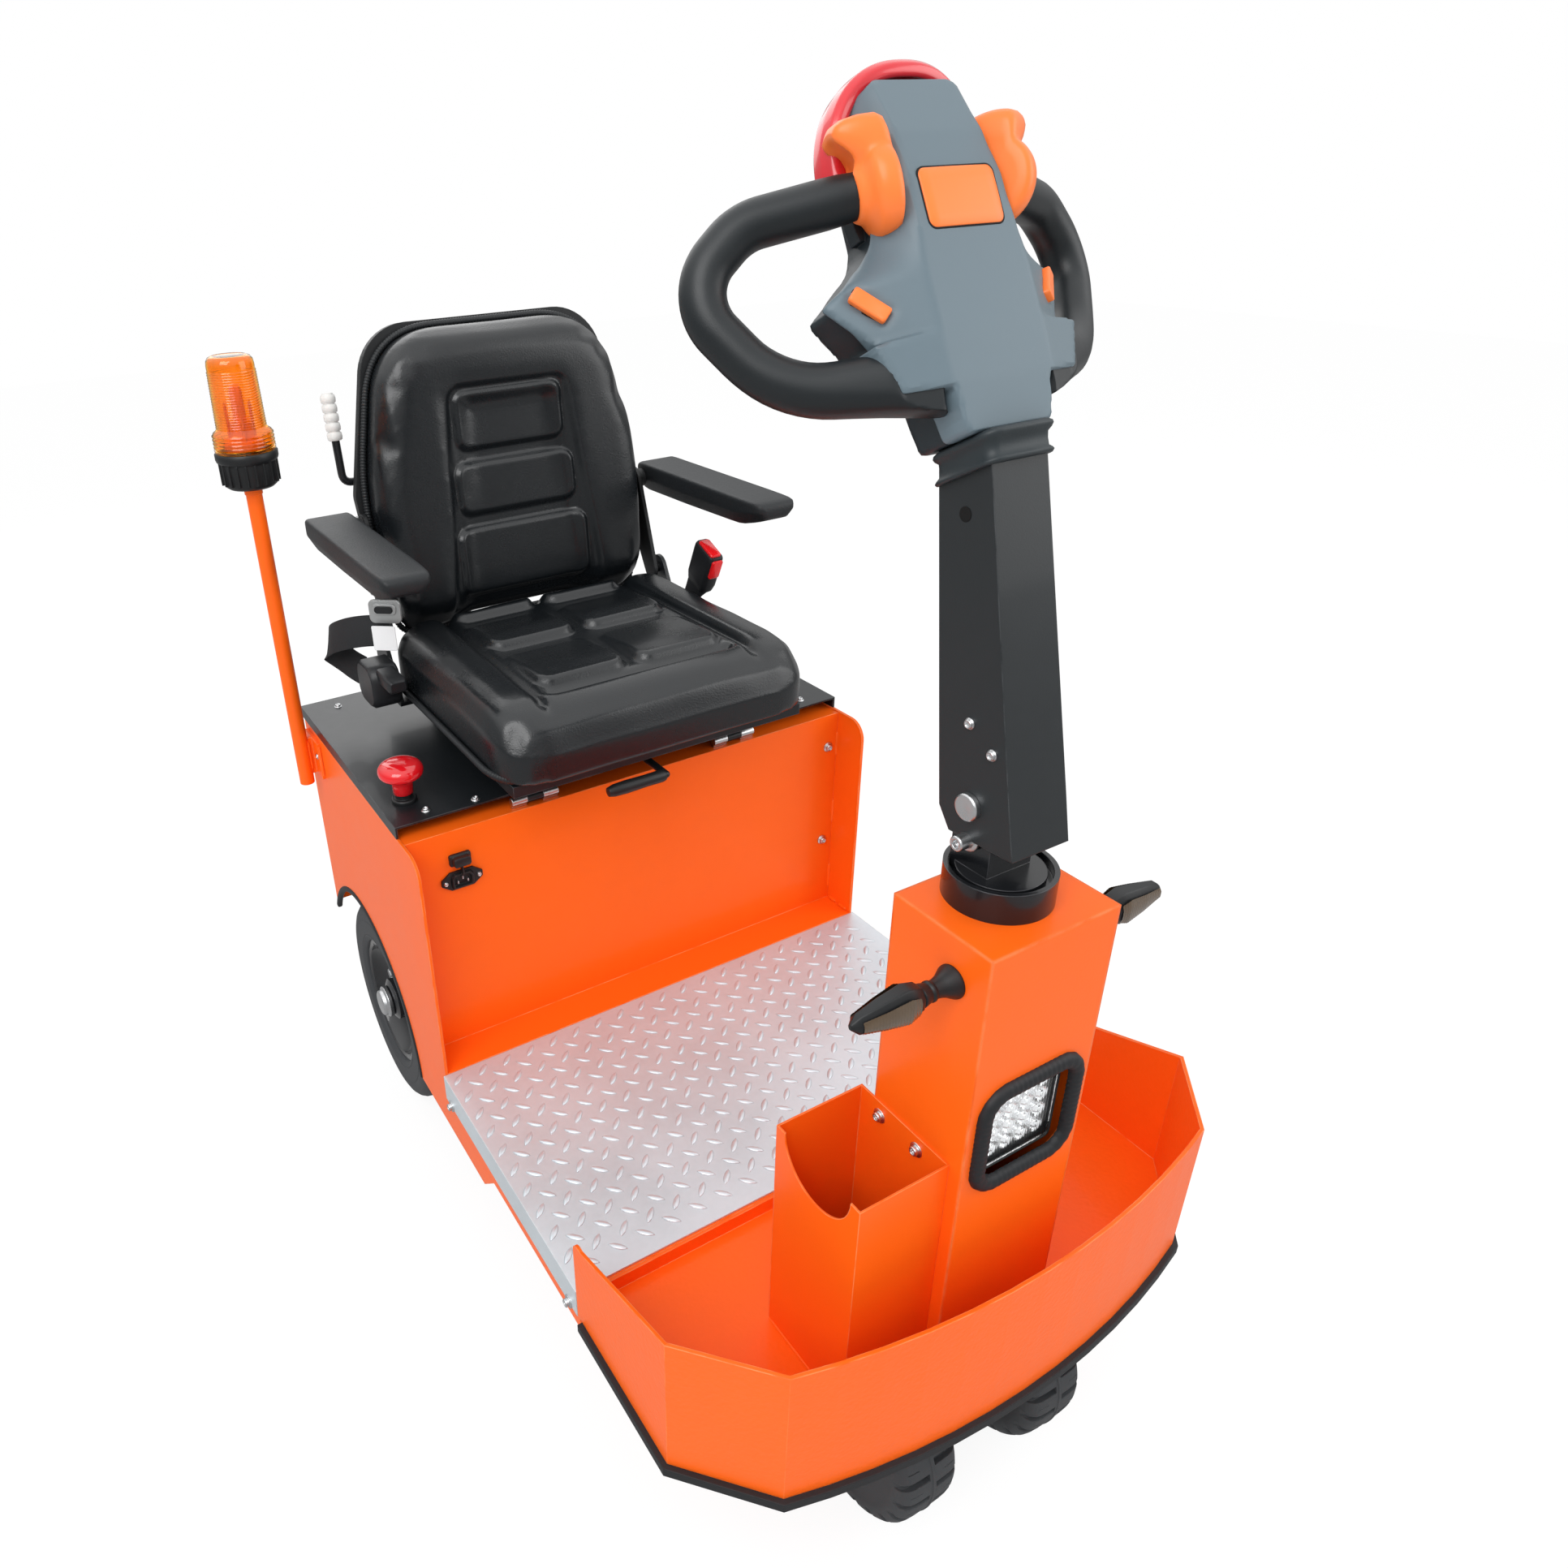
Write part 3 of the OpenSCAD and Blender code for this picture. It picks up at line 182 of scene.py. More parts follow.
def pebble_group():
    """Fine relief: cells of a given size, rounded and broken up by noise (paint peel, vinyl, plastic)."""
    group, start, end = node_group("pebble_relief", [("Vector", "NodeSocketVector", None),
        ("Scale", "NodeSocketFloat", 600.0), ("Cells", "NodeSocketFloat", 0.5)],
        [("Height", "NodeSocketFloat")])
    where, scale, share = (start.outputs[label] for label in ("Vector", "Scale", "Cells"))
    cells = shader_node(group, "TexVoronoi", {"Vector": where, "Scale": scale}, feature="SMOOTH_F1")
    cloud = shader_node(group, "TexNoise", {"Vector": where, "Scale": scale, "Detail": 3.0})
    rest = math_node(group, "SUBTRACT", 1.0, share)
    a = math_node(group, "MULTIPLY", cells.outputs["Distance"], share)
    b = math_node(group, "MULTIPLY", cloud.outputs["Fac"], rest)
    group.links.new(math_node(group, "ADD", a, b), end.inputs["Height"])
    return group


def edge_group():
    """Rounded edges: the bevelled normal, and a mask of edges that noise breaks into spots,
    painted lighter as rubbed wear and as painted highlight.
    """
    group, start, end = node_group("rubbed_and_highlit_edge", [("Vector", "NodeSocketVector", None),
        ("Amount", "NodeSocketFloat", 0.4), ("Radius", "NodeSocketFloat", 0.0018)],
        [("Mask", "NodeSocketFloat"), ("Normal", "NodeSocketVector")])
    bevel = shader_node(group, "Bevel", {"Radius": start.outputs["Radius"]}, samples=6).outputs["Normal"]
    flat = shader_node(group, "NewGeometry").outputs["Normal"]
    agree = shader_node(group, "VectorMath", {0: bevel, 1: flat}, operation="DOT_PRODUCT").outputs["Value"]
    bend = math_node(group, "MULTIPLY", math_node(group, "SUBTRACT", 0.995, agree), 6.0, True)
    patch = shader_node(group, "TexNoise", {"Vector": start.outputs["Vector"], "Scale": 34.0,
        "Detail": 5.0})
    spots = math_node(group, "MULTIPLY", math_node(group, "SUBTRACT", patch.outputs["Fac"], 0.34), 5.0,
        True)
    worn_and_lit = math_node(group, "MULTIPLY", bend, spots)
    group.links.new(math_node(group, "MULTIPLY", worn_and_lit, start.outputs["Amount"]), end.inputs["Mask"])
    group.links.new(bevel, end.inputs["Normal"])
    return group


UNEVEN_TONE = tone_group()
PEBBLE_RELIEF = pebble_group()
RUBBED_AND_HIGHLIT_EDGE = edge_group()


def principled(name, dark, light, tone_scale, smooth, rough):
    """A Principled material whose colour and roughness swing with the uneven tone between two ends;
    returns it with its tree, shader, place and shade."""
    material = bpy.data.materials.new(name)
    material.use_nodes = True
    tree = material.node_tree
    shader = tree.nodes["Principled BSDF"]
    where = shader_node(tree, "TexCoord").outputs["Object"]
    tone = shader_node(tree, "Group", {"Vector": where, "Scale": tone_scale},
        node_tree=UNEVEN_TONE).outputs["Tone"]
    shade = shader_node(tree, "Mix", {"Factor": tone, "A": (*dark, 1), "B": (*light, 1)}, data_type="RGBA")
    gloss = shader_node(tree, "MapRange", {"Value": tone, "To Min": smooth, "To Max": rough})
    tree.links.new(gloss.outputs["Result"], shader.inputs["Roughness"])
    return material, tree, shader, where, shade.outputs["Result"]


def finish(name, colour, roughness, metallic=0.0, coat=0.0, tone=0.10, tone_scale=5.0, pebble=0.0,
        pebble_scale=600.0, cells=0.5, rub_and_highlight=0.0, rub_and_highlight_colour=None, rough_swing=0.10, spec=0.34,
        radius=0.0018):
    """A finish: colour and roughness swing with the uneven tone, edges are rounded and painted a second
    colour as rubbed wear and painted highlight, and a pebbled relief bumps the surface (height in metres)."""
    material, tree, shader, where, shade = principled(
        name, [c * (1 - tone) for c in colour], [min(1.0, c * (1 + tone)) for c in colour], tone_scale,
        max(0.02, roughness - rough_swing), min(1.0, roughness + rough_swing))
    shader.inputs["Metallic"].default_value = metallic
    shader.inputs["Coat Weight"].default_value = coat
    shader.inputs["Coat Roughness"].default_value = 0.08
    shader.inputs["Specular IOR Level"].default_value = spec
    edges = shader_node(tree, "Group", {"Vector": where, "Amount": rub_and_highlight, "Radius": radius},
        node_tree=RUBBED_AND_HIGHLIT_EDGE)
    rubbed_and_highlit = shader_node(tree, "Mix", {"Factor": edges.outputs["Mask"], "A": shade,
        "B": (*(rub_and_highlight_colour or colour), 1)}, data_type="RGBA")
    tree.links.new(rubbed_and_highlit.outputs["Result"], shader.inputs["Base Color"])
    normal = edges.outputs["Normal"]
    if pebble:
        relief = shader_node(tree, "Group", {"Vector": where, "Scale": pebble_scale, "Cells": cells},
            node_tree=PEBBLE_RELIEF)
        normal = shader_node(tree, "Bump", {"Strength": 1.0, "Distance": pebble, "Normal": normal,
            "Height": relief.outputs["Height"]}).outputs["Normal"]
    tree.links.new(normal, shader.inputs["Normal"])
    return material


def dress(node, material):
    """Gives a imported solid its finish."""
    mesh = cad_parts[node].data
    mesh.materials.clear()
    mesh.materials.append(material)


# The orange coats paint their edge spots lighter, partly as wear and partly as painted highlight.
orange_paint = finish("orange_powder_coat", ORANGE, 0.34, coat=0.05, spec=0.18, tone=0.07, tone_scale=2.2,
    pebble=0.00010, pebble_scale=420.0, cells=0.2, rub_and_highlight=0.9, rub_and_highlight_colour=ORANGE_WORN_AND_HIGHLIT)
orange_pebbled = finish("orange_tray_coat", ORANGE, 0.36, coat=0.05, spec=0.22, tone=0.08, tone_scale=2.6,
    pebble=0.00055, pebble_scale=190.0, cells=0.35, rub_and_highlight=1.0, rub_and_highlight_colour=ORANGE_WORN_AND_HIGHLIT)
orange_folded = finish("orange_folded_coat", ORANGE, 0.32, coat=0.05, spec=0.20, tone=0.06, tone_scale=2.5,
    pebble=0.00010, pebble_scale=420.0, cells=0.2, rub_and_highlight=0.5, rub_and_highlight_colour=ORANGE_WORN_AND_HIGHLIT, radius=0.0055)
for node in BODY_NODES:
    dress(node, {"nose_tray": orange_pebbled, "column": orange_folded}.get(node, orange_paint))


def grid_faces(rows, columns, close_rows=False, close_columns=False, first=0):
    """Four-sided faces between neighbouring points of a grid, counted row by row."""
    i = np.arange(rows if close_rows else rows - 1)
    j = np.arange(columns if close_columns else columns - 1)
    i, j = np.meshgrid(i, j, indexing="ij")
    i1, j1 = (i + 1) % rows, (j + 1) % columns
    quads = np.stack([i * columns + j, i * columns + j1, i1 * columns + j1, i1 * columns + j], -1)
    return (first + quads.reshape(-1, 4)).tolist()


def clean_mesh(name, points, faces, slivers=True):
    """A mesh of points (n, 3) in metres and faces: doubles merged, slivers dissolved, faces outwards."""
    mesh = bpy.data.meshes.new(name)
    mesh.from_pydata(np.asarray(points, float).tolist(), [], faces)
    work = bmesh.new()
    work.from_mesh(mesh)
    bmesh.ops.remove_doubles(work, verts=work.verts, dist=1e-6)
    if slivers:
        bmesh.ops.dissolve_degenerate(work, dist=1e-6, edges=work.edges)
    bmesh.ops.recalc_face_normals(work, faces=work.faces)
    work.to_mesh(mesh)
    work.free()
    return mesh


def add_piece(name, points, faces, body, slot, material, crisp=35, bevel=0.0):
    """Makes an object of points and faces, smooths it up to the crisp angle or bevels its edges,
    and lets it ride on a body."""
    mesh = clean_mesh(name, points, faces)
    mesh.polygons.foreach_set("use_smooth", [True] * len(mesh.polygons))
    piece = bpy.data.objects.new(name, mesh)
    scene.collection.objects.link(piece)
    mesh.materials.append(material)
    if bevel:
        soft = piece.modifiers.new("rounded edges", "BEVEL")
        soft.width = bevel
        soft.segments = 2
        soft.limit_method = "ANGLE"
        soft.angle_limit = radians(crisp)
        soft.harden_normals = True
    else:
        mesh.set_sharp_from_angle(angle=radians(crisp))
    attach(piece, body)
    return piece


def joined(parts):
    """Several (points, faces) meshes put into one list of points and faces."""
    points, faces, count = [], [], 0
    for part_points, part_faces in parts:
        points.append(np.asarray(part_points, float).reshape(-1, 3))
        faces.extend([[count + k for k in face] for face in part_faces])
        count += len(points[-1])
    return np.concatenate(points), faces


def turned(profile, centre, axis, sides=48):
    """Profile rows (radius, height) turned about an axis: point = centre + height * axis +
    radius * (cos a * u + sin a * v). A radius of 0 closes an end."""
    profile, axis = np.asarray(profile, float), np.asarray(axis, float)
    axis = axis / np.linalg.norm(axis)
    u = np.cross(axis, (0.0, 0.0, 1.0) if abs(axis[2]) < 0.9 else (1.0, 0.0, 0.0))
    u /= np.linalg.norm(u)
    v = np.cross(axis, u)
    a = np.arange(sides) * tau / sides
    ring = np.cos(a)[:, None] * u + np.sin(a)[:, None] * v
    points = profile[:, 0, None, None] * ring + profile[:, 1, None, None] * axis + np.asarray(centre, float)
    return points.reshape(-1, 3), grid_faces(len(profile), sides, close_columns=True)


def carried(section, path, up, scale=None, loop=False):
    """A closed section (n, 2) carried along a path: point = path + scale * (x * side + y * rise),
    where side is square to the path and up, and rise to both. Open ends are closed by a face."""
    section, path = np.asarray(section, float), np.asarray(path, float)
    along = np.roll(path, -1, 0) - np.roll(path, 1, 0) if loop else np.gradient(path, axis=0)
    along /= np.linalg.norm(along, axis=1)[:, None]
    side = np.cross(along, np.broadcast_to(np.asarray(up, float), along.shape))
    side /= np.linalg.norm(side, axis=1)[:, None]
    rise = np.cross(side, along)
    grow = np.ones(len(path)) if scale is None else np.asarray(scale, float)
    points = (path[:, None] + (grow[:, None] * section[:, 0])[..., None] * side[:, None]
        + (grow[:, None] * section[:, 1])[..., None] * rise[:, None])
    n, m = len(path), len(section)
    faces = grid_faces(n, m, close_rows=loop, close_columns=True)
    if not loop:
        faces += [list(range(m)), list(range((n - 1) * m, n * m))]
    return points.reshape(-1, 3), faces


def stacked(outlines):
    """A wall through outlines (rows, n, 3) of equally many points, closed by a face at either end."""
    outlines = np.asarray(outlines, float)
    rows, n = outlines.shape[:2]
    faces = grid_faces(rows, n, close_columns=True)
    return outlines.reshape(-1, 3), faces + [list(range(n)), list(range((rows - 1) * n, rows * n))]


def ring_section(radius, n):
    """Points of a circle."""
    a = np.arange(n) * tau / n
    return np.stack([radius * np.cos(a), radius * np.sin(a)], 1)


def round_corners(width, height, radius, n=6):
    """Outline of a rectangle whose corners are arcs of a radius, in n steps each."""
    corner = np.array([(1, 1), (-1, 1), (-1, -1), (1, -1)]) * (width / 2 - radius, height / 2 - radius)
    a = np.linspace(0, pi / 2, n + 1) + np.arange(4)[:, None] * pi / 2
    return np.stack([corner[:, :1] + radius * np.cos(a), corner[:, 1:] + radius * np.sin(a)],
        -1).reshape(-1, 2)


deck_low, deck_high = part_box("deck_plate")
mid_x, rear_y, deck_z = (deck_low[0] + deck_high[0]) / 2, deck_high[1], deck_high[2]


def place(points):
    """Moves points given from the middle plane, the deck's rear edge and the ground."""
    return np.asarray(points, float) + (mid_x, rear_y, 0.0)


def xyz(x, y, z):
    """Points from their coordinates, arrays of one shape or single numbers."""
    return np.stack(np.broadcast_arrays(x, y, z), -1)


# Socket-head screws on plain washers hold the panels, flanges and brackets.
def screw(centre, axis, head_r=0.0050, head_h=0.0045, washer_r=0.0080):
    """Washer, head with a rounded rim and a six-sided socket, turned about one axis."""
    h0, h1 = 0.0013, 0.0013 + head_h
    disc = turned([(0, 0), (washer_r, 0), (washer_r, h0 * 0.7), (washer_r - 0.0005, h0), (0, h0)], centre,
        axis, 20)
    head = turned([(0, h0), (head_r, h0), (head_r, h1 - 0.0008), (head_r - 0.0008, h1),
        (head_r * 0.62, h1), (head_r * 0.55, h1 - head_h * 0.6), (0, h1 - head_h * 0.6)], centre, axis, 18)
    return [disc, head]


screw_steel = finish("zinc_screw_steel", (0.62, 0.63, 0.64), 0.30, metallic=1.0, tone=0.12, tone_scale=60)
body_screws = []
SCREW_SPOTS = [
    (0.331, 0.0555, 0.554, (0, -1, 0)), (0.329, 0.0555, 0.388, (0, -1, 0)),
    (-0.355, -0.020, 0.232, (-1, 0, 0)), (-0.355, -0.366, 0.232, (-1, 0, 0)),
    (0.355, -0.020, 0.232, (1, 0, 0)), (0.355, -0.366, 0.232, (1, 0, 0)),
    (-0.0775, -0.535, 0.515, (-1, 0, 0)), (-0.0775, -0.587, 0.516, (-1, 0, 0)),
    (-0.3525, 0.424, 0.575, (-1, 0, 0)), (-0.3525, 0.466, 0.575, (-1, 0, 0)),
    (0.331, 0.4900, 0.554, (0, 1, 0)), (-0.331, 0.4900, 0.554, (0, 1, 0)),
    (0.331, 0.4900, 0.388, (0, 1, 0)), (-0.331, 0.4900, 0.388, (0, 1, 0)),
]
for x, y, z, axis in SCREW_SPOTS:
    body_screws += screw(place((x, y, z)), axis)
add_piece("body_screws", *joined(body_screws), "chassis", "bright_steel", screw_steel, crisp=40)


# Seam welds: short rippled beads where the sheets meet, painted over with the body.
def weld_bead(start, end, width=0.0030):
    """A round bead carried along a line; its width swells and shrinks like laid scales."""
    start, end = np.asarray(start, float), np.asarray(end, float)
    length = np.linalg.norm(end - start)
    steps = max(8, int(length / 0.0022))
    s = np.linspace(0, 1, steps)
    path = start + s[:, None] * (end - start)
    ripple = width * (0.86 + 0.14 * np.abs(np.sin(s * length / 0.0046 * pi)))
    ends = np.minimum(1.0, 8 * np.minimum(s, 1 - s) + 0.35)
    up = (0.3, 0.2, 1.0) if abs(end - start)[2] < length * 0.7 else (1.0, 0.3, 0.0)
    return carried(ring_section(1.0, 8), path, up, scale=ripple * ends)


PANEL_Y, SIDE_X = 0.056, 0.348
SIDES = ((-1, "right"), (1, "left"))
beads = []
for side in (-1, 1):
    for z0, z1 in ((0.290, 0.335), (0.415, 0.455), (0.535, 0.575)):
        beads.append(weld_bead(place((side * SIDE_X, PANEL_Y, z0)), place((side * SIDE_X, PANEL_Y, z1))))
    for y0, y1 in ((0.008, 0.028), (0.034, 0.052)):
        beads.append(weld_bead(place((side * SIDE_X, y0, 0.2735)), place((side * SIDE_X, y1, 0.2735))))
TRAY_Z = 0.248
FOOT = [(-0.076, -0.642), (0.076, -0.642), (0.076, -0.524), (-0.076, -0.524)]
for (xa, ya), (xb, yb) in zip(FOOT, FOOT[1:] + FOOT[:1]):
    beads.append(weld_bead(place((xa, ya, TRAY_Z)), place((xb, yb, TRAY_Z)), 0.0036))
for xa, ya, xb, yb in ((-0.182, -0.627, -0.182, -0.505), (-0.182, -0.627, -0.080, -0.627)):
    beads.append(weld_bead(place((xa, ya, TRAY_Z)), place((xb, yb, TRAY_Z)), 0.0024))
POLE_X, POLE_Y = -0.374, 0.445
beads.append(weld_bead(place((POLE_X + 0.010, POLE_Y - 0.004, 0.545)),
    place((POLE_X + 0.010, POLE_Y - 0.004, 0.596))))
add_piece("weld_beads", *joined(beads), "chassis", "orange_paint", orange_paint, crisp=60)

# The deck is 3 mm checker plate, folded down at both sides: leaf-shaped lozenges rolled
# up in two directions, with their tops worn bright. Zinc grey, slightly oily.
LOZENGE_PITCH = 0.0360
LOZENGE_L, LOZENGE_W, LOZENGE_H = 0.0240, 0.0084, 0.0018
plate_steel = finish("zinc_checker_plate", (0.600, 0.660, 0.700), 0.40, metallic=0.40, tone=0.14,
    tone_scale=9.0, pebble=0.00008, pebble_scale=900, rub_and_highlight=0.5, rub_and_highlight_colour=(0.88, 0.88, 0.90),
    rough_swing=0.12)
dress("deck_plate", plate_steel)


def lozenges(width, length, height):
    """Leaf-shaped mounds on two square grids, half a pitch apart, turned 45 degrees each way:
    half-width falls as (1 - t^2)^0.75 along the leaf and the ridge as 1 - t^4."""
    i, j, k = np.meshgrid(np.arange(-20, 21), np.arange(-20, 1), np.arange(2), indexing="ij")
    cx, cy = (i + k / 2) * LOZENGE_PITCH + 0.002, (j + k / 2) * LOZENGE_PITCH + 0.0015
    inside = (np.abs(cx) < width / 2 - 0.009) & (cy < -0.009) & (cy > 0.009 - length)
    cx, cy, turn = cx[inside], cy[inside], (k[inside] * 2.0 - 1.0) * pi / 4
    t = np.array([-1.0, -0.7, -0.3, 0.3, 0.7, 1.0])
    half = LOZENGE_W / 2 * np.maximum(0.02, 1 - t ** 2) ** 0.75
    ridge = LOZENGE_H * (1 - t ** 4)
    across = np.array([-1.0, -0.45, 0.45, 1.0])
    lift = np.array([0.0, 1.0, 1.0, 0.0])
    rows, columns = len(t), len(across)
    u = (t * LOZENGE_L / 2)[:, None]
    v = half[:, None] * across
    w = ridge[:, None] * lift
    c, s = np.cos(turn)[:, None, None], np.sin(turn)[:, None, None]
    x = cx[:, None, None] + u * c - v * s
    y = cy[:, None, None] + u * s + v * c
    points = xyz(x, y, height + w - 0.0001).reshape(-1, 3)
    count = rows * columns * np.arange(len(cx))
    faces = (np.asarray(grid_faces(rows, columns)) + count[:, None, None]).reshape(-1, 4).tolist()
    rim = np.array([0, 1, 2, 3, 7, 11, 15, 19, 23, 22, 21, 20, 16, 12, 8, 4])
    return points, faces + (rim + count[:, None]).tolist()


DECK_W, DECK_L = 0.700, 0.382
points, faces = lozenges(DECK_W, DECK_L, deck_z)
add_piece("deck_lozenges", place(points), faces, "chassis", "checker_steel", plate_steel, crisp=70)

# A black rubber channel is pushed over the edge of each wheel arch; a rubber strip runs
# under the nose tray as its bump edge.
black_rubber = finish("black_rubber", (0.012, 0.013, 0.015), 0.56, tone=0.22, tone_scale=14,
    pebble=0.00012, pebble_scale=800)
dress("bumper_strip", black_rubber)
ARCH_R, AXLE_Y, AXLE_Z = 0.195, 0.318, 0.166
arch_a = np.radians(np.linspace(28.5, 179.0, 60))
arch_y, arch_z = AXLE_Y + ARCH_R * np.cos(arch_a), AXLE_Z + ARCH_R * np.sin(arch_a)
for side, word in SIDES:
    path = place(xyz(side * 0.350, arch_y, arch_z))
    add_piece("arch_edging_" + word, *carried(round_corners(0.0095, 0.0085, 0.003, 3), path, (1, 0, 0)),
        "chassis", "black_rubber", black_rubber, crisp=50)

# ---------------------------------------------------------------- charging socket
# A moulded three-pin inlet on the front panel, held by two screws through its ears, with
# a soft rubber cap on a strap above it.
black_plastic = finish("black_plastic", (0.011, 0.012, 0.013), 0.40, tone=0.2, tone_scale=20,
    pebble=0.00006, pebble_scale=1500)
SOCKET = place((-0.277, 0.056, 0.534))


def upright(outline, depth):
    """Outline points (x, z) stood up at a depth y."""
    return xyz(outline[:, 0], depth, outline[:, 1])


def rounded_block(rows, put, steps=6):
    """A solid through rounded rectangles (width, height, corner radius, depth), each laid by put."""
    return stacked([put(round_corners(w, h, r, steps), d) for w, h, r, d in rows])


def socket_ring(outer, inner, depth, floor):
    """Frame with a recess: outer wall, face, inner wall and floor, outlines in (x, z) facing -Y."""
    rows = [(outer, 0.0), (outer, depth - 0.0008), (outer * 0.97, depth), (inner * 1.04, depth),
        (inner, depth - 0.0008), (inner, floor)]
    return stacked([SOCKET + upright(o, -d) for o, d in rows])


EARS = np.array([(-0.0290, -0.004), (-0.0290, 0.004), (-0.016, 0.0135), (0.016, 0.0135), (0.0290, 0.004),
    (0.0290, -0.004), (0.016, -0.0135), (-0.016, -0.0135)])
WELL = np.array([(-0.0120, -0.0040), (-0.0120, 0.0040), (-0.0085, 0.0085), (0.0085, 0.0085),
    (0.0120, 0.0040), (0.0120, -0.0040), (0.0110, -0.0085), (-0.0110, -0.0085)])
socket_parts = [socket_ring(EARS, WELL * 1.28, 0.0040, 0.0015), socket_ring(WELL * 1.26, WELL, 0.0075,
    0.0010)]
cap = rounded_block(((0.030, 0.017, 0.003, 0.0), (0.030, 0.017, 0.003, 0.004),
    (0.024, 0.013, 0.004, 0.006), (0.024, 0.013, 0.004, 0.013), (0.021, 0.010, 0.003, 0.014)),
    lambda o, d: SOCKET + (0, 0, 0.031) + upright(o, -d))
strap = carried(round_corners(0.010, 0.0022, 0.0008, 2), SOCKET + np.array([(0, -0.0050, 0.011),
    (0, -0.0072, 0.015), (0, -0.0066, 0.019), (0, -0.0040, 0.024)]), (1, 0, 0.01))
charge_socket = add_piece("charge_socket", *joined(socket_parts + [cap, strap]), "chassis",
    "black_plastic", black_plastic, bevel=0.0006)
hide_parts("charge_inlet")
pins = []
for x, z in ((-0.007, -0.002), (0.0, 0.0035), (0.007, -0.002)):
    pins.append(rounded_block(((0.0018, 0.0042, 0.0006, 0.001), (0.0018, 0.0042, 0.0006, 0.0062)),
        lambda o, d: SOCKET + (x, 0, z) + upright(o, -d), 2))
for x in (-0.0235, 0.0235):
    pins += screw(SOCKET + (x, -0.0038, 0), (0, -1, 0), 0.0028, 0.0018, 0.0030)
add_piece("socket_pins", *joined(pins), "chassis", "bright_steel", screw_steel)

# ---------------------------------------------------------------- work lamp
# A square LED lamp set behind a round-cornered opening in the column: a clear ribbed lens
# over sixteen small reflector cups. Thick rubber edging with fine gathers frames it.
LAMP = place((0.0, -0.642, 0.560))
LAMP_W, LAMP_H = 0.112, 0.108


def on_lamp(outline, depth):
    """Outline in the column's front plane, a given depth behind it."""
    return LAMP + upright(outline, depth)


def lamp_block(rows):
    """A solid through frames of the lamp: (cut from its width, from its height, radius, depth)."""
    return rounded_block([(LAMP_W - w, LAMP_H - h, r, d) for w, h, r, d in rows], on_lamp)


lamp_case = finish("lamp_case_black", (0.012, 0.013, 0.014), 0.42, tone=0.15, tone_scale=20)
bowl_chrome = finish("lamp_reflector", (0.88, 0.89, 0.90), 0.14, metallic=1.0, tone=0.06, tone_scale=40)
case = lamp_block([(0.020, 0.014, 0.008, 0.036), (0.018, 0.012, 0.009, 0.007),
    (0.022, 0.016, 0.007, 0.005), (0.026, 0.020, 0.006, 0.005), (0.028, 0.022, 0.005, 0.016)])
lamp_body = add_piece("lamp_body", *case, "chassis", "lamp_glass", lamp_case, bevel=0.0006)
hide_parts("work_lamp")
backing = rounded_block(((0.142, 0.134, 0.010, 0.038), (0.142, 0.134, 0.010, 0.041)), on_lamp)
add_piece("lamp_backing", *backing, "chassis", "black_plastic", lamp_case)
cups = [lamp_block([(0.029, 0.023, 0.005, 0.0162), (0.029, 0.023, 0.005, 0.0152)])]
CUP_PITCH = 0.0195
CUP = [(0.0, 0.0050), (0.0022, 0.0046), (0.0040, 0.0030), (0.0050, 0.0008), (0.0058, 0.0),
    (0.0088, 0.0034), (0.0092, 0.0034), (0.0092, 0.0)]
for i in range(4):
    for j in range(4):
        cups.append(turned(CUP, LAMP + ((i - 1.5) * CUP_PITCH, 0.0154, (j - 1.5) * CUP_PITCH), (0, -1, 0),
            20))
add_piece("lamp_cups", *joined(cups), "chassis", "lamp_glass", bowl_chrome, crisp=30)


def clear_material(name, colour, roughness):
    """Clear or tinted moulding: a Principled surface that lets light through."""
    material, tree, shader, where, shade = principled(
        name, colour, [min(1.0, c * 1.08 + 0.01) for c in colour], 8.0, roughness * 0.7, roughness * 1.3)
    shader.inputs["Transmission Weight"].default_value = 1.0
    shader.inputs["IOR"].default_value = 1.49
    tree.links.new(shade, shader.inputs["Base Color"])
    return material


lens_clear = clear_material("lamp_lens_clear", (0.97, 0.98, 0.99), 0.015)
lens_w, lens_h = LAMP_W - 0.027, LAMP_H - 0.021
LENS_N, LENS_M = 110, 8
u, v = np.meshgrid(np.linspace(-0.5, 0.5, LENS_N), np.linspace(-0.5, 0.5, LENS_M), indexing="ij")
ribs = 0.00016 * np.abs(np.sin(u * lens_w / 0.0032 * pi))
front, rear = (LAMP + xyz(u * lens_w, depth, v * lens_h).reshape(-1, 3)
    for depth in (0.0062 - ribs, 0.0082))
back_n = LENS_N * LENS_M
grid = np.arange(back_n).reshape(LENS_N, LENS_M)
rim = np.concatenate([grid[0], grid[1:, -1], grid[-1, -2::-1], grid[-2:0:-1, 0]])
rim_faces = np.stack([rim, np.roll(rim, -1), np.roll(rim, -1) + back_n, rim + back_n], 1).tolist()
lens_faces = grid_faces(LENS_N, LENS_M) + grid_faces(LENS_N, LENS_M, first=back_n) + rim_faces
add_piece("lamp_lens", np.concatenate([front, rear]), lens_faces, "chassis", "lamp_glass", lens_clear,
    crisp=50)

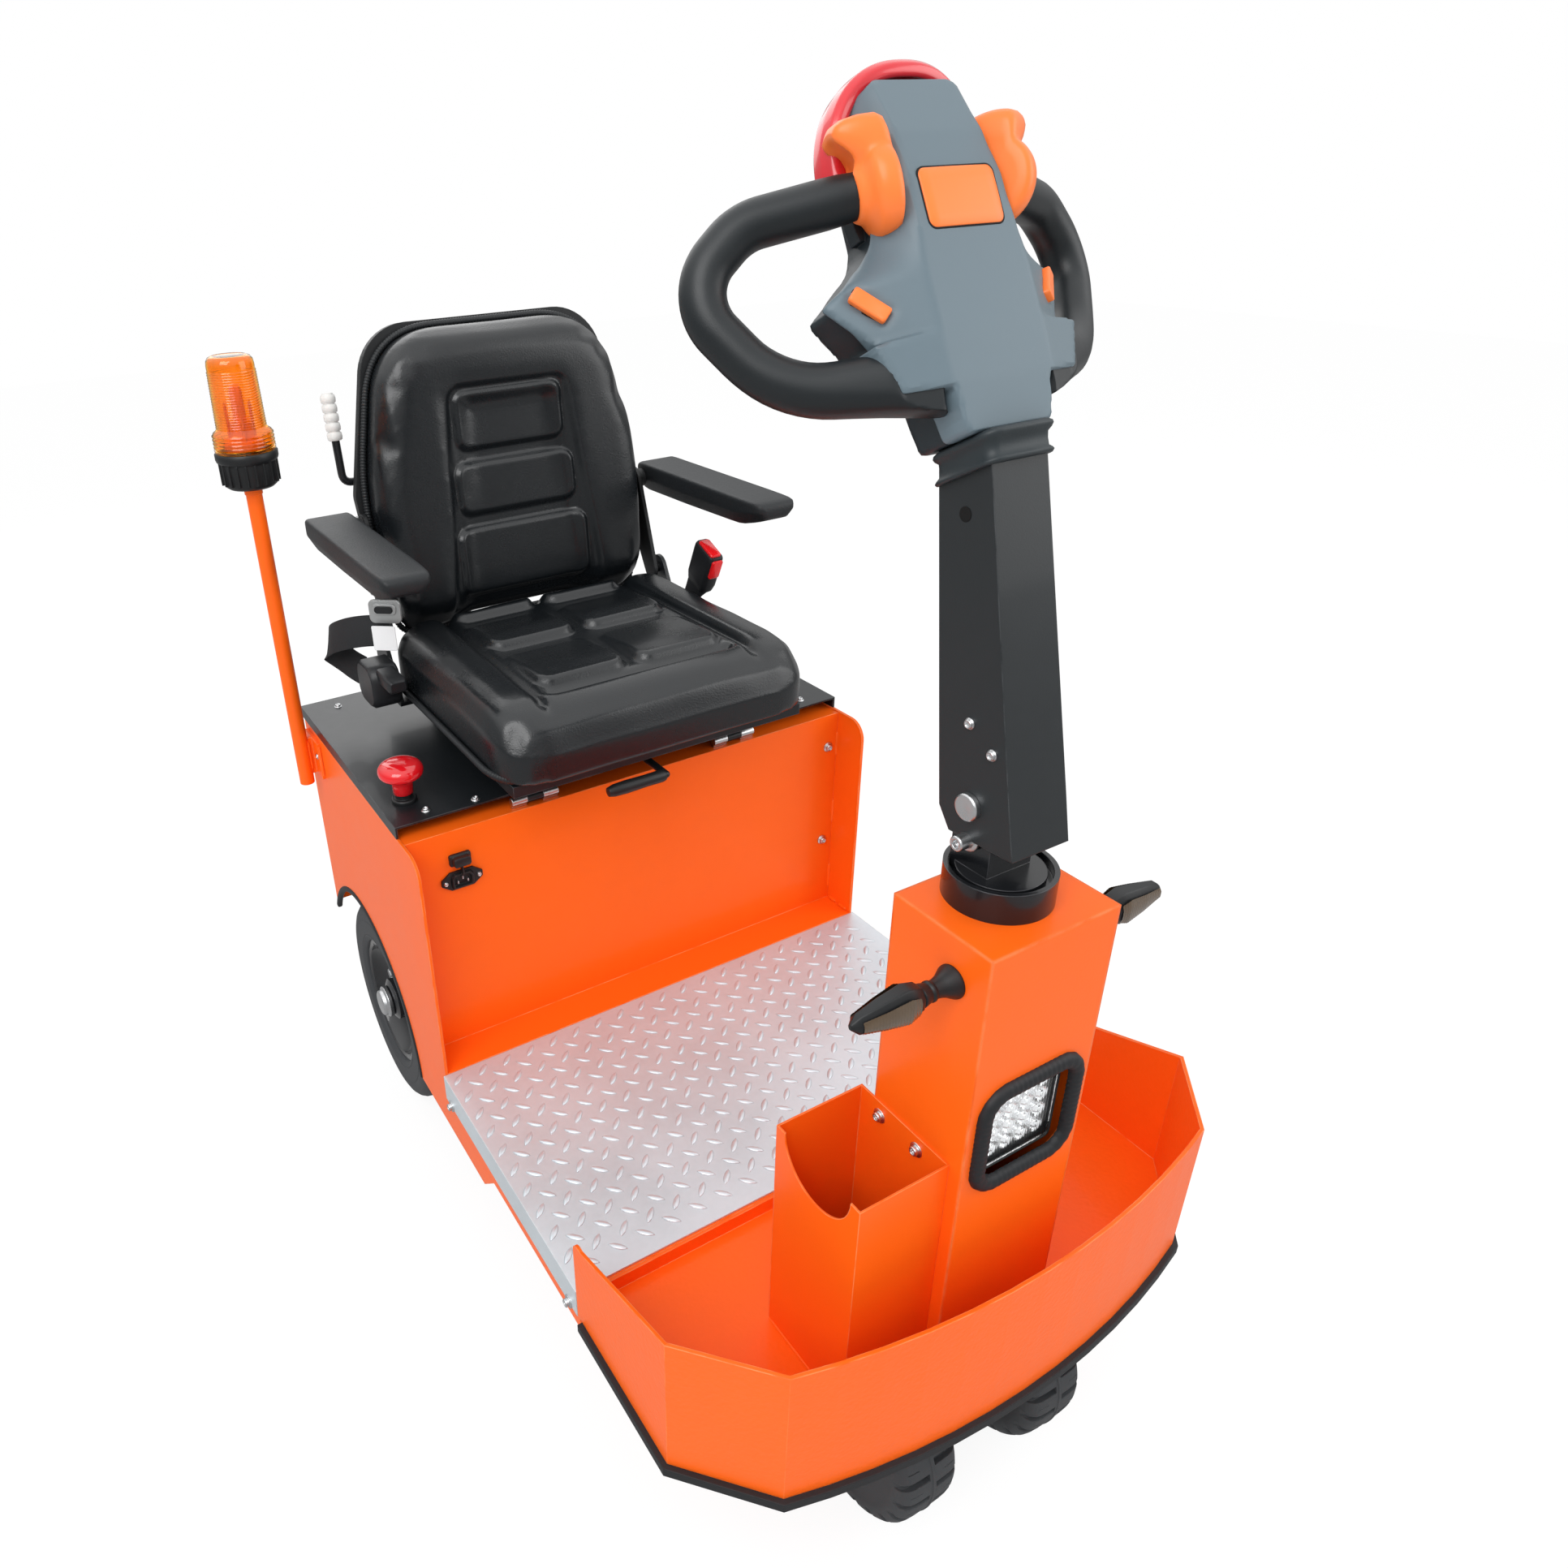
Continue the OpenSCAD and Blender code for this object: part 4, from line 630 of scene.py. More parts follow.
trim_path = on_lamp(round_corners(LAMP_W + 0.004, LAMP_H + 0.004, 0.024, 14), -0.001)
path_len = np.linalg.norm(np.roll(trim_path, -1, 0) - trim_path, axis=1)
fine = []
for a, b, d in zip(trim_path, np.roll(trim_path, -1, 0), path_len):
    n = max(1, int(d / 0.0016))
    fine.append(a + (np.arange(n) / n)[:, None] * (b - a))
fine = np.concatenate(fine)
gathers = 1.0 + 0.035 * np.sin(np.arange(len(fine)) * tau / 3.7)
half_round = np.array([(0.0085 * np.cos(a), 0.0068 * np.sin(a)) for a in np.linspace(0, pi, 9)]
    + [(-0.0085, -0.0015), (0.0085, -0.0015)])
lamp_trim = add_piece("lamp_trim_rubber", *carried(half_round, fine, (0, -1, 0), scale=gathers, loop=True),
    "chassis", "black_rubber", black_rubber, crisp=60)
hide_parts("lamp_trim")

# ---------------------------------------------------------------- turn signals
# Flexible rubber stalks with a flared foot, and an arrow-shaped lamp with a smoked,
# ribbed lens on its front and rear.
smoked = finish("smoked_lens", (0.085, 0.055, 0.030), 0.14, coat=0.6, tone=0.25, tone_scale=60, spec=0.5)
SIGNAL_STATIONS = [(0.034, 0.013, 0.014), (0.042, 0.024, 0.028), (0.055, 0.027, 0.035),
    (0.080, 0.023, 0.028), (0.104, 0.016, 0.018), (0.112, 0.004, 0.005)]
HEX = np.array([(-0.50, 0.16), (-0.22, 0.50), (0.22, 0.50), (0.50, 0.16), (0.50, -0.16), (0.22, -0.50),
    (-0.22, -0.50), (-0.50, -0.16)])
for side, word in SIDES:
    root = place((side * 0.076, -0.602, 0.729))
    stalk = turned([(0.0, 0.0), (0.0160, 0.0), (0.0155, 0.0030), (0.0105, 0.0120), (0.0088, 0.0180),
        (0.0082, 0.0235), (0.0098, 0.0245), (0.0098, 0.0275), (0.0086, 0.0285), (0.0100, 0.0330),
        (0.0110, 0.0380), (0, 0.0385)], root, (side, 0, 0), 32)
    arrow = stacked([root + xyz(side * s, HEX[:, 0] * w, HEX[:, 1] * h) for s, w, h in SIGNAL_STATIONS])
    signal = add_piece("turn_signal_" + word, *joined([stalk, arrow]), "chassis", "black_plastic",
        black_plastic, bevel=0.0007)
    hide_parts("turn_signals")
    faces_of_lens = []
    for face in (-1, 1):
        s, t = np.meshgrid(np.linspace(0.046, 0.104, 60), np.linspace(-1, 1, 5), indexing="ij")
        height = np.interp(s, [0.046, 0.057, 0.104], [0.0095, 0.0130, 0.0062])
        depth = np.interp(s, [0.046, 0.055, 0.080, 0.104], [0.0129, 0.0137, 0.0118, 0.0083])
        bulge = 0.0020 * (1 - np.abs(t) ** 4) + 0.0005 * np.abs(np.sin((s + 0.006 * t) / 0.0030 * pi))
        shell = root + xyz(side * s, face * (depth - 0.0016 + bulge), t * height)
        faces_of_lens.append((shell.reshape(-1, 3), grid_faces(60, 5)))
    add_piece("signal_lens_" + word, *joined(faces_of_lens), "chassis", "lamp_glass", smoked, crisp=60)

# ---------------------------------------------------------------- steering ring and yoke
# A turned black steel cup stands on the column; the yoke turns in it on a king pin. Two
# socket-head bolts on washers clamp the yoke, one zinc plated, one blackened.
black_paint = finish("black_enamel", (0.010, 0.011, 0.013), 0.26, coat=0.25, tone=0.25, tone_scale=9,
    pebble=0.00004, pebble_scale=900, rub_and_highlight=0.5, rub_and_highlight_colour=(0.09, 0.09, 0.10))
for node in ("steering_ring", "steering_yoke", "steering_fork"):
    dress(node, black_paint)
BOLTS = [
    ("zinc", (-0.0290, -0.559, 0.834), (-1, 0, 0), "bright_steel", screw_steel),
    ("black", (0.012, -0.5815, 0.833), (0.25, -1, 0), "black_paint", black_paint),
]
for word, spot, axis, slot, metal in BOLTS:
    bolt = turned([(0, 0), (0.0115, 0), (0.0115, 0.0022), (0.0105, 0.0026), (0.0072, 0.0026),
        (0.0072, 0.0150), (0.0064, 0.0160), (0.0042, 0.0160), (0.0036, 0.0120), (0, 0.0120)], place(spot),
        axis, 28)
    add_piece("clamp_bolt_" + word, *bolt, "steering", slot, metal, crisp=30)

# ---------------------------------------------------------------- tiller post
# A tapered box post folded from 5 mm steel, powder coated satin black, hinged on a pin
# whose zinc caps show at both sides. A soft rubber collar closes it under the head.
post_paint = finish("satin_black_coat", (0.015, 0.018, 0.020), 0.40, coat=0.1, tone=0.16, tone_scale=6,
    pebble=0.00006, pebble_scale=800, rub_and_highlight=0.35, rub_and_highlight_colour=(0.16, 0.17, 0.18))
soft_rubber = finish("soft_collar_rubber", (0.022, 0.029, 0.033), 0.48, tone=0.18, tone_scale=20,
    pebble=0.00010, pebble_scale=500)
dress("tiller_post", post_paint)
PIVOT = place((0.0, -0.559, 0.868))
POST_LEAN, HEAD_LEAN = radians(13.5), radians(28.0)
POST_FRONT, POST_L, POST_HEAD = 0.043, 0.307, 0.054


def leaning(origin, lean):
    """A frame at an origin that leans back by an angle: put(points) takes points (across, back, up)
    in it to the room's."""
    c, s = cos(lean), sin(lean)

    def put(points):
        x, y, z = np.moveaxis(np.asarray(points, float), -1, 0)
        return origin + xyz(x, y * c + z * s, z * c - y * s)
    return put


on_post = leaning(PIVOT, POST_LEAN)


def post_side(z):
    """Half-width of the post's side wall at a height along it."""
    return 0.033 + (0.029 - 0.033) * np.clip(z / POST_L, 0, 1)


post_screws = []
for side in (-1, 1):
    for y, z in ((-0.0056, 0.0735), (-0.0402 + 0.012, 0.0500)):
        post_screws += screw(on_post((side * post_side(z), y, z)), (side, 0, 0), 0.0042, 0.0022, 0.0052)
    post_screws.append(turned([(0, 0), (0.0125, 0), (0.0125, 0.0052), (0.0112, 0.0064), (0.0030, 0.0066),
        (0, 0.0060)], on_post((side * 0.0330, 0, 0)), (side, 0, 0), 32))
add_piece("post_screws", *joined(post_screws), "tiller", "bright_steel", screw_steel, crisp=32)
# The post's holes are flat near-black discs: painted shadow in place of their depth.
hole_shadow_paint = finish("hole_shadow", (0.004, 0.004, 0.004), 0.9)
holes = [turned([(0, 0.0), (0.0062, 0.0), (0.0062, 0.0004), (0, 0.0004)],
    on_post((side * post_side(0.244), -0.0135, 0.244)), (side, 0, 0), 24) for side in (-1, 1)]
add_piece("post_holes", *joined(holes), "tiller", "black_plastic", hole_shadow_paint)


def head_floor(y):
    """Height of the head's underside along the post, at a depth y."""
    return POST_L - (y + POST_FRONT) * np.tan(HEAD_LEAN - POST_LEAN)


def collar_ring(grow, drop):
    """Rounded rectangle round the post, parallel to the head's underside, grown by an amount."""
    flat = round_corners(0.058 + 2 * grow, POST_HEAD + 2 * grow, 0.006 + grow, 5)
    y = flat[:, 1] + POST_HEAD / 2 - POST_FRONT
    return on_post(xyz(flat[:, 0], y, head_floor(y) - drop))


COLLAR_ROWS = [(0.0012, 0.0265), (0.0066, 0.0262), (0.0078, 0.0246), (0.0066, 0.0228), (0.0040, 0.0205),
    (0.0034, 0.0150), (0.0038, 0.0098), (0.0068, 0.0072), (0.0080, 0.0052), (0.0074, 0.0030),
    (0.0050, 0.0014), (0.0012, 0.0004)]
collar = stacked([collar_ring(g, d) for g, d in COLLAR_ROWS])
collar_piece = add_piece("collar_rubber", *collar, "tiller", "black_rubber", soft_rubber, crisp=80)
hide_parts("tiller_collar")

# ---------------------------------------------------------------- control head
# Injection-moulded head: a blue-grey cover in front, a darker housing behind it and a
# domed back shell, screwed together with a thin gap. Fine-grained matt plastic.
HEAD = on_post((0.0, -POST_FRONT, POST_L))
head_grey = finish("head_cover_grey", (0.118, 0.162, 0.190), 0.44, tone=0.06, tone_scale=7, spec=0.35,
    pebble=0.00004, pebble_scale=1400, rub_and_highlight=0.15, rub_and_highlight_colour=(0.22, 0.27, 0.30))
housing_dark = finish("head_housing_dark", (0.018, 0.027, 0.033), 0.48, tone=0.10, tone_scale=8, spec=0.35,
    pebble=0.00005, pebble_scale=1400)
# Near-black matt sheet for the gaps and slots of the head: painted shade.
gap_shade_paint = finish("panel_gap_painted_shade", (0.008, 0.009, 0.010), 0.8)
on_head = leaning(HEAD, HEAD_LEAN)


def soft_outline(corners, radius, steps=5):
    """A closed outline whose corners are quadratic arcs: (1-t)^2 a + 2t(1-t) corner + t^2 b."""
    corners = np.asarray(corners, float)
    before, after = np.roll(corners, 1, 0) - corners, np.roll(corners, -1, 0) - corners
    lb, la = np.linalg.norm(before, axis=1), np.linalg.norm(after, axis=1)
    reach = np.minimum(np.broadcast_to(radius, lb.shape), 0.45 * np.minimum(lb, la))
    a = corners + before / lb[:, None] * reach[:, None]
    b = corners + after / la[:, None] * reach[:, None]
    t = np.linspace(0, 1, steps + 1)[None, :, None]
    return ((1 - t) ** 2 * a[:, None] + 2 * t * (1 - t) * corners[:, None]
        + t ** 2 * b[:, None]).reshape(-1, 2)


def edge_distance(points, outline):
    """Distance of each point (n, 2) from a closed outline: to its nearest straight piece."""
    a, b = outline, np.roll(outline, -1, 0)
    d = b - a
    best = np.full(len(points), np.inf)
    for start, step in zip(a, d):
        t = np.clip(((points - start) @ step) / max(step @ step, 1e-16), 0, 1)
        best = np.minimum(best, np.linalg.norm(points - start - t[:, None] * step, axis=1))
    return best


def moulded(outline, front, back, round_r, step):
    """A moulded shell: its face is the outline cut by a square grid, set back by front(x, z) and by
    a quarter round r - sqrt(r^2 - (r - e)^2) near the edge, e being the distance from it. Its rear
    lies at back, a depth or a function of (x, z)."""
    work = bmesh.new()
    face = work.faces.new([work.verts.new((x, 0.0, z)) for x, z in outline])
    for width in (0.12, 0.25, 0.35, 0.45):
        bmesh.ops.inset_region(work, faces=[face], thickness=width * round_r, use_even_offset=True)
    lo, hi = outline.min(0), outline.max(0)
    for k, normal in ((0, (1, 0, 0)), (1, (0, 0, 1))):
        for cut in np.arange(lo[k] + step / 2, hi[k], step):
            bmesh.ops.bisect_plane(work, geom=work.verts[:] + work.edges[:] + work.faces[:],
                plane_co=(cut, 0, 0) if k == 0 else (0, 0, cut), plane_no=normal, dist=1e-6)
    work.verts.ensure_lookup_table()
    work.verts.index_update()
    flat = np.array([v.co[:] for v in work.verts])
    faces = [[v.index for v in f.verts] for f in work.faces]
    open_edges = [[v.index for v in e.verts] for e in work.edges if len(e.link_faces) == 1]
    work.free()
    e = np.minimum(edge_distance(flat[:, [0, 2]], outline), round_r)
    fall = round_r - np.sqrt(np.maximum(0.0, round_r ** 2 - (round_r - e) ** 2))
    x, z = flat[:, 0], flat[:, 2]
    top = xyz(x, front(x, z) + fall, z)
    bottom = xyz(x, back(x, z) if callable(back) else back, z)
    n = len(top)
    faces += [[a, b, b + n, a + n] for a, b in open_edges] + [[k + n for k in f[::-1]] for f in faces]
    return np.concatenate([top, bottom]), faces


CREASE, CROSSBAR_TILT, WING_TILT, FLANK_TILT = 0.050, 0.27, 0.57, 1.90
CROWN_Z = [0.0, 0.038, 0.074, 0.188, 0.225, 0.273]
CROWN_Y = [0.006, 0.0015, 0.0, 0.0, 0.005, 0.0185]
ROCKER = np.array((0.0910, 0.1077))
ROCKER_TURN = radians(48)
WING_SECANT = (1 + WING_TILT ** 2) ** 0.5


def smooth_step(value):
    """0 below 0, 1 above 1, 3v^2 - 2v^3 between."""
    value = np.clip(value, 0, 1)
    return value * value * (3 - 2 * value)


def cover_front(x, z):
    """Depth of the cover's face: a crown along it, then sides that fall away beyond the flat middle
    at a tilt of their own for the crossbar, the wings and the flanks, and a dish round each rocker."""
    crown = np.interp(z, CROWN_Z, CROWN_Y)
    beyond = np.maximum(0.0, np.abs(x) - CREASE + 0.009 * np.clip((z - 0.119) / 0.121, 0, 1))
    soft = np.where(beyond < 0.003, beyond ** 2 / 0.006, beyond - 0.0015)
    tilt = (CROSSBAR_TILT + (WING_TILT - CROSSBAR_TILT) * smooth_step((z - 0.0755) / 0.005)
        + (FLANK_TILT - WING_TILT) * smooth_step((z - 0.120) / 0.048))
    across, along = (np.abs(x) - ROCKER[0]) * WING_SECANT, z - ROCKER[1]
    u = across * cos(ROCKER_TURN) + along * sin(ROCKER_TURN)
    w = along * cos(ROCKER_TURN) - across * sin(ROCKER_TURN)
    near = np.maximum(np.abs(u) / 0.0192, np.abs(w) / 0.0085)
    return np.minimum(crown + tilt * soft, 0.048) + 0.0022 * np.clip((1.0 - near) / 0.18, 0, 1)


COVER = [[0, 44, 6], [36, 49.5, 3], [38.5, 89, 2], [75.5, 102.7, 2], [76.8, 92, 1], [114.5, 118.7, 4],
    [118.5, 114, 4], [126.6, 100.2, 8], [135.3, 88.7, 8], [143.2, 76.7, 8], [154.2, 67, 8], [166, 62, 8],
    [190, 62, 10], [215, 68, 12], [238, 68.5, 12], [252, 61.5, 8], [262, 52, 8], [268.5, 42, 4],
    [273, 36, 4]]
right = [(w / 1000, z / 1000) for z, w, r in COVER]
rounds = np.array([r for z, w, r in COVER]) / 1000
cover_outline = soft_outline(right + [(-x, z) for x, z in right[::-1]],
    np.concatenate([rounds, rounds[::-1]]))
GRIP_ROOT = np.array((0.050, 0.0175, 0.191))
GRIP_SWEEP = radians(25)


def cover_back(x, z):
    """Depth of the cover's inner face."""
    return np.maximum(0.034, cover_front(x, z) + 0.0045)


cover_mesh = moulded(cover_outline, cover_front, cover_back, 0.0022, 0.0030)
cover_piece = add_piece("control_cover", on_head(cover_mesh[0]), cover_mesh[1], "tiller", "grey_plastic",
    head_grey, crisp=34)
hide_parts("head_cover")


def squared(wave, power):
    """A sine or cosine made fuller: sgn(v) |v|^power."""
    return np.sign(wave) * np.abs(wave) ** power


def hoop(half, rise, start, end):
    """A squared arch: x = half sgn(cos a) |cos a|^0.8, z = base + rise sgn(sin a) |sin a|^0.8."""
    turn = np.radians(np.linspace(start, end, 96))
    return np.stack([half * squared(np.cos(turn), 0.8), 0.195 + rise * squared(np.sin(turn), 0.8)], 1)


# The dark housing follows the cover's rear, and a round back shell carries the red rim
HOUSING = [[0, 38], [36, 43.5], [42, 85], [73, 97], [79, 89], [113, 114], [126, 96], [135, 85], [143, 73],
    [154, 63], [166, 58], [208, 57], [236, 58], [250, 52], [262, 43]]
right = [(w / 1000, z / 1000) for z, w in HOUSING]
housing_outline = soft_outline(right + [(-x, z) for x, z in right[::-1]], 0.004)
HOUSING_REAR, ROUND_REAR = 0.074, 0.066


def housing_reach(x, z):
    """How far the housing reaches forward from its rear face, up to the cover."""
    return HOUSING_REAR - np.maximum(0.0347, cover_front(x, z) + 0.0052)


def level(x, z):
    """A level face."""
    return 0.0 * x


lower = moulded(housing_outline, level, housing_reach, 0.010, 0.004)
round_back = moulded(hoop(0.0665, 0.0815, -17, 197), level, 0.021, 0.010, 0.02)
housing = joined([(on_head(lower[0] * (1, -1, 1) + (0, HOUSING_REAR, 0)), lower[1]),
    (on_head(round_back[0] * (1, -1, 1) + (0, ROUND_REAR, 0)), round_back[1])])
housing_piece = add_piece("control_housing", *housing, "tiller", "dark_plastic", housing_dark, crisp=34)
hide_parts("head_housing")

# Orange push plate, set in the cover with a gap round it; the near-black ring in the gap is painted shade
PLATE_Z = 0.173
orange_plastic = finish("orange_plastic", (0.98, 0.205, 0.040), 0.33, tone=0.05, tone_scale=10,
    pebble=0.00003, pebble_scale=1200, rub_and_highlight=0.2, rub_and_highlight_colour=(1.0, 0.40, 0.16))
gap_ring = rounded_block(((0.0768, 0.0468, 0.0072, -0.00025), (0.0768, 0.0468, 0.0072, 0.0006)),
    lambda o, d: on_head(upright(o, d) + (0, 0, PLATE_Z)))
add_piece("push_plate_gap", *gap_ring, "tiller", "dark_plastic", gap_shade_paint)


def plate_dome(x, z):
    """Depth of the plate's face: slightly domed both ways, its middle furthest forward."""
    return 0.0012 * ((x / 0.037) ** 2 + (z / 0.022) ** 2) / 2 - 0.0032


plate_mesh = moulded(round_corners(0.074, 0.044, 0.006, 5), plate_dome, 0.0004, 0.0016, 0.006)
plate_piece = add_piece("push_plate", on_head(plate_mesh[0] + (0, 0, PLATE_Z)), plate_mesh[1], "tiller",
    "orange_plastic", orange_plastic, crisp=45)
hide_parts("head_plate")

# Red belly button: a glossy rim that arches over the head's top, with a rolled inner lip
red_gloss = finish("red_gloss_plastic", (0.62, 0.012, 0.022), 0.20, coat=0.6, tone=0.05, tone_scale=12)
RIM_T = 0.0115
arch = hoop(0.0800, 0.0950, 3, 177)
along = np.gradient(arch, axis=0)
outward = np.stack([along[:, 1], -along[:, 0]], 1) / np.linalg.norm(along, axis=1)[:, None]
rim_section = soft_outline([(-RIM_T, 0.0200), (-0.0045, 0.0190), (0.0, 0.0225), (0.0012, 0.0330),
    (0.0, 0.0440), (-0.004, 0.0475), (-RIM_T, 0.0475), (-RIM_T - 0.0018, 0.0440), (-RIM_T + 0.001, 0.0415),
    (-RIM_T + 0.001, 0.0262), (-RIM_T - 0.0022, 0.0235)], 0.0016, 3)
swept = np.stack([xyz(p[0] + rim_section[:, 0] * n[0], rim_section[:, 1] + 2.5 * p[0] ** 2,
    p[1] + rim_section[:, 0] * n[1]) for p, n in zip(arch, outward)])
rim_mesh = stacked(swept)
rim_piece = add_piece("red_rim", on_head(rim_mesh[0]), rim_mesh[1], "tiller", "red_plastic", red_gloss,
    crisp=50)
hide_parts("crash_bumper")

# ---------------------------------------------------------------- handle loops
# Steel tubes overmoulded with soft black rubber: straight grips swept back from the head,
# bent round and down, thickening into the roots that plug in under the cover's crossbar.
grip_rubber = finish("overmoulded_grip", (0.011, 0.014, 0.016), 0.42, tone=0.10, tone_scale=8,
    pebble=0.00006, pebble_scale=1100)
ROOT_RUN = 0.0830
LOOP_STEPS = [(0.098, 0.050, 35), (0.012, 0.042, 85), (0.022, 0.088, 50), (ROOT_RUN, 0.0, 0)]


def loop_line():
    """Middle line of a loop in its own plane: straights, and arcs that bend downwards."""
    x, z, heading, points = 0.0, 0.0, 0.0, []
    for straight, bend, turn in LOOP_STEPS:
        for t in np.linspace(0, 1, 9 if turn else 33)[: None if turn == 0 else -1]:
            points.append((x + t * straight * cos(heading), z + t * straight * sin(heading)))
        x, z = x + straight * cos(heading), z + straight * sin(heading)
        cx, cz = x + bend * sin(heading), z - bend * cos(heading)
        if turn:
            for k in range(max(6, turn // 5)):
                h = heading - radians(turn) * k / max(6, turn // 5)
                points.append((cx - bend * sin(h), cz + bend * cos(h)))
            heading -= radians(turn)
            x, z = cx - bend * sin(heading), cz + bend * cos(heading)
    return np.array(points)


def on_grip(points, side, under=None):
    """Points in a loop's frame (out, back, up), swept back and put at the grip's root; kept under
    a face, where one is given."""
    x, y, z = np.moveaxis(np.asarray(points, float), -1, 0)
    c, s = cos(GRIP_SWEEP), sin(GRIP_SWEEP)
    out, back, up = GRIP_ROOT[0] + x * c - y * s, GRIP_ROOT[1] + x * s + y * c, GRIP_ROOT[2] + z
    if under is not None:
        back = np.where(up < 0.12, np.maximum(back, under(out, up)), back)
    return on_head(xyz(side * out, back, up))


def root_face(out, up):
    """Depth that a loop's root keeps behind: a step under the crossbar, then free further out."""
    step = (0.0012 + 0.0020 * smooth_step((0.092 - out) / 0.006) + 0.014
        * smooth_step((0.058 - out) / 0.012) * (up < 0.0372))
    return (step + np.interp(up, CROWN_Z, CROWN_Y) + CROSSBAR_TILT * np.maximum(0.0, out - CREASE)
        - 0.6 * np.maximum(0.0, out - 0.104))


line = loop_line()
length = np.concatenate([[0], np.cumsum(np.linalg.norm(np.diff(line, axis=0), axis=1))])
LOOP_LENGTH = 0.470
u = length / LOOP_LENGTH
radius = 0.018 + 0.009 * np.clip(2 * u - 1, 0, 1)
radius = radius * (1 - 0.10 * np.exp(-((u - 0.055) / 0.02) ** 2))
heading = np.gradient(line, axis=0)
heading /= np.linalg.norm(heading, axis=1)[:, None]
ROUND = 32
a = np.arange(ROUND) * tau / ROUND
rise = np.stack([-heading[:, 1], heading[:, 0]], 1)
broad = 1.0 + 0.16 * np.clip((u - 0.72) / 0.28, 0, 1)
boxy = (1.0 - 0.5 * np.clip((u - 0.60) / 0.20, 0, 1))[:, None]
across = (radius * broad)[:, None] * squared(np.cos(a), boxy)
deep = radius[:, None] * squared(np.sin(a), boxy)
tube = xyz(line[:, 0, None] + across * rise[:, 0, None], deep, line[:, 1, None] + across * rise[:, 1, None])
for side, word in SIDES:
    loop_piece = add_piece("handle_loop_" + word, *stacked(on_grip(tube, side, root_face)), "tiller",
        "black_rubber", grip_rubber, crisp=50)
    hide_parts("handle_loops")

# ---------------------------------------------------------------- thumb paddles and rockers
# Orange paddles turn round each grip's root: a smooth collar that flares to the grip, with a
# hooked thumb tab on top. Small orange rockers sit in dishes of the cover's wings.
COLLAR_LINE = np.array([(-0.0020, 0.022), (-0.0018, 0.0295), (0.0000, 0.0325), (0.0040, 0.0336),
    (0.0090, 0.0338), (0.0135, 0.0332), (0.0162, 0.0312), (0.0180, 0.0285), (0.0195, 0.0258),
    (0.0212, 0.0232), (0.0238, 0.0208), (0.0275, 0.0188), (0.0278, 0.0178)])
TAB_LINE = np.array([(-0.0010, 0.030), (-0.0014, 0.0420), (0.0012, 0.0480), (0.0060, 0.0512),
    (0.0170, 0.0524), (0.0290, 0.0516), (0.0358, 0.0488), (0.0385, 0.0440), (0.0368, 0.0392),
    (0.0315, 0.0352), (0.0262, 0.0296), (0.0236, 0.0230), (0.0238, 0.0178)])
a = np.radians(np.arange(96) * 3.75)
share = smooth_step((radians(42) - np.abs((a - radians(12) + pi) % tau - pi)) / radians(22))
rows = []
for (x0, r0), (x1, r1) in zip(COLLAR_LINE, TAB_LINE):
    x, r = x0 + (x1 - x0) * share, r0 + (r1 - r0) * share
    rows.append(xyz(x, -r * np.sin(a), r * np.cos(a)))
for side, word in SIDES:
    points, faces = stacked(rows)
    paddle = add_piece("thumb_paddle_" + word, on_grip(points, side), faces, "tiller", "orange_plastic",
        orange_plastic, crisp=60)
    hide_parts("thumb_paddles")


def on_rocker(points, side):
    """Points in a rocker's frame: long way, out of the wing, across; turned on the sloped wing."""
    u, v, w = np.moveaxis(np.asarray(points, float), -1, 0)
    across = u * cos(ROCKER_TURN) - w * sin(ROCKER_TURN)
    along = u * sin(ROCKER_TURN) + w * cos(ROCKER_TURN)
    depth = WING_TILT * (ROCKER[0] - CREASE - 0.0015)
    return on_head(xyz(side * (ROCKER[0] + (across + WING_TILT * v) / WING_SECANT),
        depth + (WING_TILT * across - v) / WING_SECANT, ROCKER[1] + along))


def bowed(outline, height):
    """A rocker's outline at a height; above the wing's face it is bowed along its length."""
    return upright(outline, height + 0.22 * (outline[:, 0] / 0.0155) ** 2 * 0.006 * (height > 0))


SLOT_ROWS = ((0.0338, 0.0140, 0.0035, -0.0045), (0.0338, 0.0140, 0.0035, -0.0019))
CAP_ROWS = ((0.0318, 0.0118, 0.0022, -0.0040), (0.0318, 0.0118, 0.0022, 0.0020),
    (0.0308, 0.0108, 0.0022, 0.0030), (0.0280, 0.0090, 0.0022, 0.0034), (0.0140, 0.0050, 0.0015, 0.0034))
slots = [rounded_block(SLOT_ROWS, lambda o, d: on_rocker(upright(o, d), side)) for side in (-1, 1)]
caps = [rounded_block(CAP_ROWS, lambda o, d: on_rocker(bowed(o, d), side)) for side in (-1, 1)]
# The near-black slots round the rockers are painted shade in their recesses.
add_piece("rocker_slots", *joined(slots), "tiller", "dark_plastic", gap_shade_paint)
rockers = add_piece("rocker_caps", *joined(caps), "tiller", "orange_plastic", orange_plastic, crisp=50)
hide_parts("rocker_switches")

